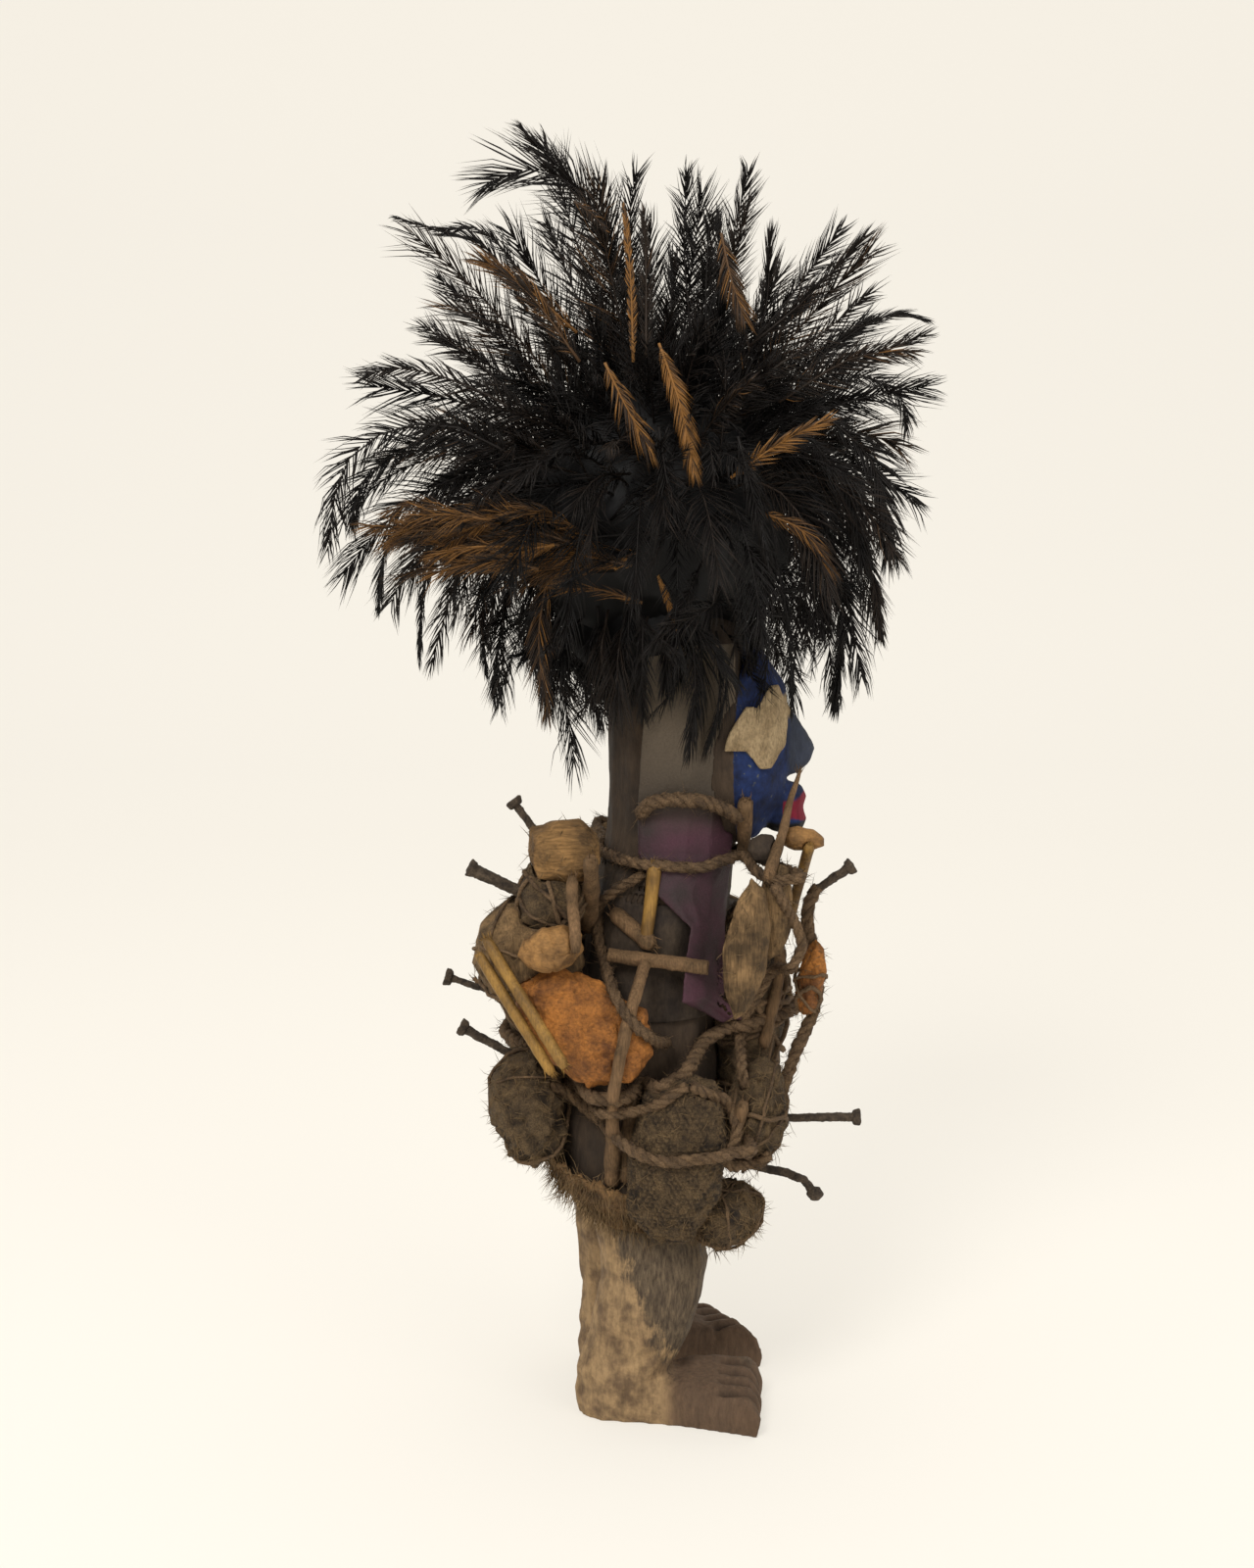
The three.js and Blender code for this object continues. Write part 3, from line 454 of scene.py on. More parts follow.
class Weave:
    """Lays out the nodes of one material or node group."""

    def __init__(self, tree: bpy.types.NodeTree) -> None:
        """Starts on a tree.

        Args:
            tree: the node tree that the nodes go into.
        """
        self.tree = tree

    def node(self, kind: str, **inputs: object) -> bpy.types.Node:
        """Adds a node; a word that isn't one of its inputs is set as one of its options.

        Args:
            kind: the node's type.
            inputs: values or sockets by the input's name, spaces written as underscores.

        Returns:
            The new node.
        """
        made = self.tree.nodes.new(kind)
        named = {socket.name: socket for socket in reversed(made.inputs)}
        for word, value in inputs.items():
            if hasattr(made, word) and word not in named:
                setattr(made, word, value)
        named = {socket.name: socket for socket in reversed(made.inputs) if socket.enabled}
        for word, value in inputs.items():
            title = word.replace("_", " ")
            if title in named:
                self.join(value, named[title])
        return made

    def join(self, value: object, socket: bpy.types.NodeSocket) -> None:
        """Sets an input to a value, or links another node's output to it."""
        if isinstance(value, bpy.types.NodeSocket):
            self.tree.links.new(value, socket)
        elif isinstance(value, tuple) and len(value) == 3 and socket.type == "RGBA":
            socket.default_value = (*value, 1.0)
        else:
            socket.default_value = value

    def math(self, operation: str, a: object, b: object = 0.0) -> bpy.types.NodeSocket:
        """Adds a sum on two numbers and gives its result."""
        made = self.tree.nodes.new("ShaderNodeMath")
        made.operation = operation
        self.join(a, made.inputs[0])
        self.join(b, made.inputs[1])
        return made.outputs[0]

    def blend(self, a: object, b: object, share: object, how: str = "MIX") -> bpy.types.NodeSocket:
        """Mixes two colours and gives the result."""
        made = self.tree.nodes.new("ShaderNodeMix")
        made.data_type = "RGBA"
        made.blend_type = how
        made.clamp_factor = True
        self.join(share, made.inputs[0])
        self.join(a, made.inputs[6])
        self.join(b, made.inputs[7])
        return made.outputs[2]

    def remap(
        self, value: object, low: float, high: float, to_low: float = 0.0, to_high: float = 1.0
    ) -> bpy.types.NodeSocket:
        """Stretches a range of a number to another range, and stays inside it."""
        made = self.node("ShaderNodeMapRange", clamp=True)
        self.join(value, made.inputs[0])
        for i, number in enumerate((low, high, to_low, to_high), start=1):
            made.inputs[i].default_value = number
        return made.outputs[0]

    def value(self, name: str) -> bpy.types.NodeSocket:
        """Reads a number that the mesh keeps for each point."""
        made = self.node("ShaderNodeAttribute")
        made.attribute_name = name
        return made.outputs["Fac"]


def group(
    name: str, inputs: dict[str, tuple[str, object]], outputs: dict[str, str]
) -> tuple[bpy.types.NodeTree, Weave, dict, dict]:
    """Starts a shader node group.

    Args:
        name: the group's name.
        inputs: socket type and default value by name.
        outputs: socket type by name.

    Returns:
        The tree, its layout helper, the sockets that bring its inputs and those that take its outputs.
    """
    tree = bpy.data.node_groups.new(name, "ShaderNodeTree")
    for title, (kind, default) in inputs.items():
        socket = tree.interface.new_socket(title, in_out="INPUT", socket_type=kind)
        socket.default_value = default
    for title, kind in outputs.items():
        tree.interface.new_socket(title, in_out="OUTPUT", socket_type=kind)
    source = tree.nodes.new("NodeGroupInput")
    sink = tree.nodes.new("NodeGroupOutput")
    return tree, Weave(tree), {s.name: s for s in source.outputs}, {s.name: s for s in sink.inputs}


FLOAT = "NodeSocketFloat"
VECTOR = "NodeSocketVector"
COLOUR = "NodeSocketColor"


class Effects:
    """The surface effects that several finishes share, each a node group made once."""

    def __init__(self) -> None:
        """Makes the groups."""
        self.grain = self.make_grain()
        self.specks = self.make_specks()
        self.mottle = self.make_mottle()

    def make_grain(self) -> bpy.types.NodeTree:
        """Makes streaks that run one way, as in wood, bark and fibre."""
        tree, weave, given, wanted = group(
            "Grain",
            {
                "Vector": (VECTOR, (0, 0, 0)),
                "Stretch": (VECTOR, (1, 1, 1)),
                "Scale": (FLOAT, 400.0),
                "Contrast": (FLOAT, 2.0),
            },
            {"Mask": FLOAT},
        )
        drawn = weave.node("ShaderNodeVectorMath", operation="MULTIPLY")
        weave.join(given["Vector"], drawn.inputs[0])
        weave.join(given["Stretch"], drawn.inputs[1])
        noise = weave.node(
            "ShaderNodeTexNoise", Vector=drawn.outputs[0], Scale=given["Scale"], Detail=5.0, Roughness=0.65
        )
        centred = weave.math("SUBTRACT", noise.outputs["Fac"], 0.5)
        strong = weave.math("MULTIPLY", centred, given["Contrast"])
        weave.join(weave.remap(strong, -0.5, 0.5), wanted["Mask"])
        return tree

    def make_specks(self) -> bpy.types.NodeTree:
        """Makes scattered light specks of dust and grit."""
        tree, weave, given, wanted = group(
            "Specks",
            {"Vector": (VECTOR, (0, 0, 0)), "Scale": (FLOAT, 300.0), "Amount": (FLOAT, 0.3)},
            {"Mask": FLOAT},
        )
        fine = weave.node(
            "ShaderNodeTexNoise", Vector=given["Vector"], Scale=given["Scale"], Detail=3.0, Roughness=0.7
        )
        broad = weave.node("ShaderNodeTexNoise", Vector=given["Vector"], Scale=22.0, Detail=2.0)
        sparse = weave.math("MULTIPLY", fine.outputs["Fac"], weave.remap(broad.outputs["Fac"], 0.3, 0.7, 0.8, 1.1))
        edge = weave.math("SUBTRACT", 0.95, weave.math("MULTIPLY", given["Amount"], 0.45))
        lifted = weave.math("SUBTRACT", sparse, edge)
        weave.join(weave.remap(lifted, 0.0, 0.06), wanted["Mask"])
        return tree

    def make_mottle(self) -> bpy.types.NodeTree:
        """Makes cloudy changes between two colours."""
        tree, weave, given, wanted = group(
            "Mottle",
            {
                "Vector": (VECTOR, (0, 0, 0)),
                "Scale": (FLOAT, 40.0),
                "Dark": (COLOUR, (0, 0, 0, 1)),
                "Light": (COLOUR, (1, 1, 1, 1)),
                "Bias": (FLOAT, 0.0),
            },
            {"Color": COLOUR, "Mask": FLOAT},
        )
        noise = weave.node(
            "ShaderNodeTexNoise", Vector=given["Vector"], Scale=given["Scale"], Detail=6.0, Roughness=0.6
        )
        shifted = weave.math("ADD", noise.outputs["Fac"], given["Bias"])
        mask = weave.remap(shifted, 0.36, 0.64)
        weave.join(weave.blend(given["Dark"], given["Light"], mask), wanted["Color"])
        weave.join(mask, wanted["Mask"])
        return tree


EFFECTS = Effects()


@dataclass(frozen=True)
class Finish:
    """A matte natural surface: cloudy colour, streaks, dust specks and a bump.

    Attributes:
        name: the material's name.
        dark: the darker colour, six hex digits.
        light: the lighter colour.
        cloud: how fine the clouds are, in clouds a metre.
        bias: above 0 for more of the light colour.
        grain: how fine the streaks are, in streaks a metre.
        stretch: how much the streaks are squeezed along each axis; small is long.
        streak: how strongly the streaks darken.
        specks: how much dust lies on it.
        dust: the colour of the dust.
        rough: roughness.
        bump: depth of the bump.
        shine: coat weight, for a waxy skin.
        toned: whether the mesh's tone value moves it from dark to light.
    """

    name: str
    dark: str
    light: str
    cloud: float = 40.0
    bias: float = 0.0
    grain: float = 500.0
    stretch: tuple[float, float, float] = (1.0, 1.0, 0.12)
    streak: float = 0.5
    specks: float = 0.25
    dust: str = "8d8069"
    rough: float = 0.85
    bump: float = 0.35
    shine: float = 0.0
    toned: bool = False

    def material(self) -> bpy.types.Material:
        """Makes the material."""
        made = bpy.data.materials.new(self.name)
        made.use_nodes = True
        weave = Weave(made.node_tree)
        surface = made.node_tree.nodes["Principled BSDF"]
        place = weave.node("ShaderNodeTexCoord").outputs["Object"]
        clouds = self.use(
            weave, EFFECTS.mottle, Vector=place, Scale=self.cloud, Dark=colour(self.dark),
            Light=colour(self.light), Bias=self.bias,
        )
        streaks = self.use(
            weave, EFFECTS.grain, Vector=place, Stretch=self.stretch, Scale=self.grain, Contrast=2.2
        )
        specks = self.use(weave, EFFECTS.specks, Vector=place, Scale=420.0, Amount=self.specks)
        tint = clouds["Color"]
        if self.toned:
            tint = weave.blend(tint, colour(self.light), weave.value("tone"))
        tint = self.extra(weave, place, tint)
        lines = weave.remap(streaks["Mask"], 0.0, 1.0, 1.0 - self.streak, 1.0 + 0.35 * self.streak)
        shaded = weave.node("ShaderNodeVectorMath", operation="SCALE")
        weave.join(tint, shaded.inputs[0])
        weave.join(lines, shaded.inputs["Scale"])
        dusty = weave.blend(shaded.outputs[0], colour(self.dust), weave.math("MULTIPLY", specks["Mask"], 0.75))
        weave.join(dusty, surface.inputs["Base Color"])
        uneven = weave.remap(clouds["Mask"], 0.0, 1.0, self.rough - 0.08, min(1.0, self.rough + 0.08))
        weave.join(uneven, surface.inputs["Roughness"])
        surface.inputs["Specular IOR Level"].default_value = 0.3
        if self.shine:
            surface.inputs["Coat Weight"].default_value = self.shine
            surface.inputs["Coat Roughness"].default_value = 0.35
        height = weave.math("ADD", streaks["Mask"], weave.math("MULTIPLY", clouds["Mask"], 0.5))
        relief = weave.node("ShaderNodeBump", Strength=self.bump, Distance=0.0012, Height=height)
        weave.join(relief.outputs[0], surface.inputs["Normal"])
        return made

    def extra(
        self, weave: Weave, place: bpy.types.NodeSocket, tint: bpy.types.NodeSocket
    ) -> bpy.types.NodeSocket:
        """Lays further colour over the clouds; the plain finish lays none."""
        return tint

    @staticmethod
    def use(
        weave: Weave, tree: bpy.types.NodeTree, **inputs: object
    ) -> dict[str, bpy.types.NodeSocket]:
        """Places a shared effect with its own values and gives its outputs by name."""
        made = weave.tree.nodes.new("ShaderNodeGroup")
        made.node_tree = tree
        for word, value in inputs.items():
            weave.join(value, made.inputs[word])
        return {socket.name: socket for socket in made.outputs}


def thresholded(
    weave: Weave, name: str, noise: bpy.types.NodeSocket, wander: float, soft: float
) -> bpy.types.NodeSocket:
    """Turns a kept distance into a mask whose edge wanders with a noise."""
    stray = weave.math("MULTIPLY", weave.math("SUBTRACT", noise, 0.5), wander)
    return weave.remap(weave.math("ADD", weave.value(name), stray), -soft, soft)


@dataclass(frozen=True)
class PaintedWood(Finish):
    """The figure's wood: dark trunk, dusty tan shins, a blue and red painted face, and painted shade in the toe
    grooves.
    """

    def extra(
        self, weave: Weave, place: bpy.types.NodeSocket, tint: bpy.types.NodeSocket
    ) -> bpy.types.NodeSocket:
        """Lays dust, brown earth, the face's paint and the painted shade of the toe grooves over the wood."""
        fine = weave.node("ShaderNodeTexNoise", Vector=place, Scale=260.0, Detail=4.0, Roughness=0.65).outputs["Fac"]
        broad = weave.node("ShaderNodeTexNoise", Vector=place, Scale=70.0, Detail=5.0, Roughness=0.65).outputs["Fac"]
        strokes = weave.node("ShaderNodeMapping", Scale=(1.0, 1.0, 0.2), Rotation=(0.0, 0.5, 0.0))
        weave.join(place, strokes.inputs["Vector"])
        scratch = weave.node("ShaderNodeTexNoise", Vector=strokes.outputs[0], Scale=420.0, Detail=4.0, Roughness=0.7)
        scratch = scratch.outputs["Fac"]
        patchy = weave.math("ADD", weave.math("MULTIPLY", scratch, 0.6), weave.math("MULTIPLY", broad, 0.6))
        shin = thresholded(weave, "shin", patchy, 3.0, 0.8)
        worn_grey = weave.blend(colour("43372c"), colour("76654f"), weave.remap(scratch, 0.35, 0.65))
        greyed = weave.blend(tint, worn_grey, weave.math("MULTIPLY", shin, 0.85))
        tan = thresholded(weave, "tan", patchy, 6.0, 0.5)
        dust = weave.blend(colour("6d5740"), colour("a58862"), weave.remap(broad, 0.38, 0.62))
        dusted = weave.blend(greyed, dust, weave.math("MULTIPLY", tan, 0.95))
        earth = thresholded(weave, "earth", broad, 1.6, 0.5)
        soil = weave.blend(colour("4b3c30"), colour("735a45"), broad)
        walked = weave.blend(dusted, soil, weave.math("MULTIPLY", earth, 0.9))
        blue = thresholded(weave, "blue", fine, 0.25, 0.03)
        paint = weave.blend(colour("131a33"), colour("223463"), weave.remap(broad, 0.35, 0.65))
        painted = weave.blend(walked, paint, blue)
        worn = weave.math("MULTIPLY", weave.remap(fine, 0.62, 0.68), weave.remap(broad, 0.45, 0.6))
        chipped = weave.math("MULTIPLY", weave.math("MULTIPLY", worn, blue), 0.7)
        flecked = weave.blend(painted, colour("77754a"), chipped)
        nose = weave.math("MULTIPLY", thresholded(weave, "grey", fine, 0.4, 0.2), 0.85)
        nosed = weave.blend(flecked, colour("3c4049"), nose)
        bridged = weave.blend(nosed, colour("9a8462"), thresholded(weave, "bridge", fine, 0.2, 0.1))
        lipped = weave.blend(bridged, colour("7d1f31"), thresholded(weave, "red", fine, 0.25, 0.05))
        inked = weave.blend(lipped, colour("14110f"), thresholded(weave, "black", fine, 0.3, 0.12))
        # Painted shade: the toe grooves are darkened by the groove value.
        return weave.blend(inked, colour("1d1510"), weave.math("MULTIPLY", weave.value("groove_shade"), 0.85))


@dataclass(frozen=True)
class StripHide(Finish):
    """The long strip of hide: grey-brown on the neck, purple below the neck rope."""

    def extra(
        self, weave: Weave, place: bpy.types.NodeSocket, tint: bpy.types.NodeSocket
    ) -> bpy.types.NodeSocket:
        """Lays the grey-brown over the purple from the neck rope up."""
        height = weave.node("ShaderNodeSeparateXYZ", Vector=place).outputs["Z"]
        neck = weave.blend(colour("3c332a"), colour("5c5041"), weave.remap(height, 0.43, 0.5))
        return weave.blend(tint, neck, weave.remap(height, 0.42, 0.445))


class Slot(Enum):
    """The record's material slots."""

    WOOD = "carved_wood"
    DARK_HIDE = "dark_hide"
    PURPLE_HIDE = "purple_hide"
    PALE_SKIN = "pale_skin"
    BARK = "bark"
    POD = "seed_pod"
    ORANGE_SKIN = "orange_skin"
    FEATHER = "feather"
    BROWN_FIBRE = "brown_fibre"
    PACKED = "packed_fibre"
    ROPE = "rope"
    IRON = "rusty_iron"
    REED = "reed"
    STICK = "stick"


WOOD = PaintedWood(
    "carved wood", "2e251d", "4a3c2f", cloud=26, grain=300, stretch=(1.0, 1.0, 0.22), streak=0.35,
    specks=0.3, dust="9b8e78", bump=0.45,
)
TRUNK_HIDE = Finish(
    "trunk hide", "2b221c", "4a3e32", cloud=45, grain=420, stretch=(1, 1, 0.4), streak=0.4, specks=0.34,
    bump=0.4,
)
PURPLE_HIDE = StripHide(
    "purple hide", "2e2121", "4a2b36", cloud=28, grain=700, stretch=(1, 1, 1), streak=0.25, specks=0.4,
    dust="8f8072", rough=0.6, bump=0.25,
)
PALE_SKIN = Finish(
    "pale skin", "8c7656", "b39c78", cloud=60, grain=650, stretch=(1, 1, 0.5), streak=0.5, specks=0.1,
    dust="2d251c", bump=0.6,
)
BARK = Finish(
    "bark", "4f3d27", "977852", cloud=55, grain=700, stretch=(1, 1, 0.1), streak=0.65, specks=0.2, bump=0.7
)
BLOCK = Finish(
    "block bark", "5a4328", "9a7548", cloud=50, grain=600, stretch=(0.12, 1, 1), streak=0.6, specks=0.2,
    bump=0.6,
)
POD = Finish(
    "pod husk", "5f4324", "a57a47", cloud=70, grain=600, stretch=(0.5, 1, 1), streak=0.45, specks=0.15,
    rough=0.7, bump=0.4,
)
ORANGE = Finish(
    "orange skin", "663d1c", "bd7a38", cloud=45, grain=420, stretch=(1, 1, 1), streak=0.6, specks=0.15,
    dust="c79a5a", rough=0.66, bump=0.8,
)
FIBRE = Finish(
    "packed fibre", "2b2118", "7c6547", cloud=120, bias=-0.06, grain=900, stretch=(1, 1, 1), streak=0.75,
    specks=0.25, bump=0.9, toned=True,
)
ROPE = Finish(
    "rope fibre", "37291d", "80664a", cloud=110, bias=-0.04, grain=900, stretch=(1, 1, 1), streak=0.7,
    specks=0.2, bump=0.6, toned=True,
)
CLOTH = Finish(
    "bark cloth", "3d2f21", "8c6b45", cloud=60, grain=700, stretch=(1, 1, 0.15), streak=0.6, specks=0.15,
    bump=0.8, toned=True,
)
HAIR = Finish(
    "loose fibre", "3a2d20", "856c4b", cloud=60, grain=600, streak=0.3, specks=0.05, bump=0.1, toned=True
)
IRON = Finish(
    "rusty iron", "3a3129", "6a5b4b", cloud=160, grain=900, stretch=(1, 1, 1), streak=0.5, specks=0.3,
    dust="83745e", rough=0.85, bump=0.9,
)
REED = Finish(
    "yellow reed", "573f24", "a8803f", cloud=45, grain=900, stretch=(1, 1, 0.05), streak=0.55, specks=0.15,
    rough=0.6, bump=0.3, toned=True,
)
STICK = Finish(
    "stick bark", "44341f", "87694a", cloud=50, grain=800, stretch=(1, 1, 0.08), streak=0.6, specks=0.25,
    bump=0.6, toned=True,
)


@dataclass(frozen=True)
class Plumage:
    """The feathers' finish: nearly black barbs with a brown cast and a faint sheen.

    Attributes:
        name: the material's name.
        deep: the darkest colour.
        cast: the brown of worn barbs.
    """

    name: str = "black plumage"
    deep: str = "060505"
    cast: str = "30251c"

    def material(self) -> bpy.types.Material:
        """Makes the material; the mesh's tone value moves it from deep to cast to bright."""
        made = bpy.data.materials.new(self.name)
        made.use_nodes = True
        weave = Weave(made.node_tree)
        surface = made.node_tree.nodes["Principled BSDF"]
        ramp = weave.node("ShaderNodeValToRGB", Fac=weave.value("tone"))
        stops = [(0.0, self.deep), (0.45, "17120f"), (0.7, self.cast), (0.85, "553d26"), (1.0, "80592c")]
        elements = ramp.color_ramp.elements
        elements[0].position, elements[0].color = stops[0][0], (*colour(stops[0][1]), 1)
        elements[1].position, elements[1].color = stops[-1][0], (*colour(stops[-1][1]), 1)
        for position, code in stops[1:-1]:
            elements.new(position).color = (*colour(code), 1)
        weave.join(ramp.outputs[0], surface.inputs["Base Color"])
        surface.inputs["Roughness"].default_value = 0.55
        surface.inputs["Specular IOR Level"].default_value = 0.22
        return made


class Vane(Enum):
    """How a feather's barbs stand: lean near the root and near the tip, spread, clumping, width."""

    PLUME = (50.0, 16.0, 1.5, 0.6, 0.5)
    WISP = (30.0, 7.0, 1.1, 0.45, 0.48)
    BLADE = (36.0, 16.0, 0.6, 0.2, 0.7)
    LEAF = (34.0, 10.0, 1.1, 0.5, 0.75)
    FUR = (24.0, 12.0, 1.6, 0.4, 0.4)


@dataclass
class Feather:
    """One feather: a quill along a line and the barbs on both sides of it.

    Attributes:
        stops: places that the quill passes, from its root to the farthest barb ends.
        face: the direction that its flat side looks to.
        vane: how its barbs stand.
        barbs: barbs on each side.
        barb: length of the longest barb.
        curl: how far the barbs bend over, 0 for straight.
        hang: how strongly the barbs' ends are pulled down.
        tone: its shade, from 0, black, to 1, golden.
        bare: the share of the quill that carries no barbs.
        steps: stretches along a barb.
    """

    stops: Sequence[Sequence[float]]
    face: np.ndarray
    vane: Vane = Vane.PLUME
    barbs: int = 60
    barb: float = 34.0
    curl: float = 0.6
    hang: float = 0.15
    tone: float = 0.3
    bare: float = 0.1
    steps: int = 2

    QUILL_END = 0.92
    PER_CLUMP = 5
    SAMPLES = 25

    def grow(self, pile: Pile, draw: np.random.Generator) -> None:
        """Adds the feather to a pile.

        Args:
            pile: the mesh that it joins.
            draw: the seeded source of its small differences.
        """
        root_lean, tip_lean, spread, clump, width = self.vane.value
        line = curve_through(self.stops, self.SAMPLES)
        marks = np.linspace(0, 1, self.SAMPLES)
        quill = line[marks <= self.QUILL_END][::3]
        pile.add_tube(quill, np.linspace(1.1, 0.3, len(quill)), 4, tone=min(1.0, self.tone + 0.1))
        count = 2 * self.barbs
        t = np.repeat(np.linspace(self.bare, self.QUILL_END, self.barbs), 2)
        t = np.clip(t + draw.normal(0, 0.01, count), self.bare, self.QUILL_END)
        side = np.tile([1.0, -1.0], self.barbs)
        base = np.stack([np.interp(t, marks, line[:, k]) for k in range(3)], axis=1)
        slope = np.gradient(line, axis=0)
        along = unit(np.stack([np.interp(t, marks, slope[:, k]) for k in range(3)], axis=1))
        lateral = unit(np.cross(along, self.face))
        normal = np.cross(lateral, along)
        share = (t - self.bare) / (self.QUILL_END - self.bare)
        lean = np.radians(mix(root_lean, tip_lean, share**1.3) + draw.normal(0, 5 * spread, count))
        bulge = np.minimum(1, 0.5 + 2.2 * share) * np.minimum(1, 0.55 + 2.6 * (1 - share))
        length = self.barb * bulge * (1 + draw.normal(0, 0.14 * spread + 0.04, count))
        fold = draw.normal(0.05, 0.16 * spread, count)[:, None]
        start = unit(
            along * np.cos(lean)[:, None] + lateral * (side * np.sin(lean))[:, None] + normal * fold
        )
        group = (np.arange(count) // 2) // self.PER_CLUMP * 2 + (side > 0)
        lock = draw.normal(0, 0.22 * spread, (group.max() + 1, 3))[group]
        pull = along * self.curl - UP * self.hang * 1.6 + lock + draw.normal(0, 0.08 * spread, (count, 3))
        finish = unit(start + pull)
        ends = base + length[:, None] * (start + finish) / 2
        sums = np.zeros((group.max() + 1, 3))
        np.add.at(sums, group, ends)
        middle = sums / np.bincount(group)[:, None]
        gather = (middle[group] - ends) * clump
        shape = RODS[self.steps]
        s = shape.along[None, :, None]
        reach = length[:, None, None]
        path = base[:, None] + reach * (start[:, None] * s + (finish - start)[:, None] * s**2 / 2)
        path = path + gather[:, None] * s**2
        flat = unit(np.cross(normal, start))
        taper = width * (1 - 0.5 * s) * (1 + draw.normal(0, 0.15, count))[:, None, None]
        over = shape.around[None]
        places = path + (flat[:, None] * over[..., :1] + normal[:, None] * over[..., 1:] * 0.4) * taper
        uneven = 0.14 if self.tone > 0.55 else 0.07
        shade = self.tone + draw.normal(0, uneven, count)[:, None] + 0.06 * shape.along[None]
        pile.add(shape, places, tone=np.clip(shade, 0, 1))


RODS = {steps: Shape.rod(3, steps, pointed=True) for steps in (2, 3, 4)}

TOWARDS_VIEW = np.array([0.0, -1.0, 0.0])

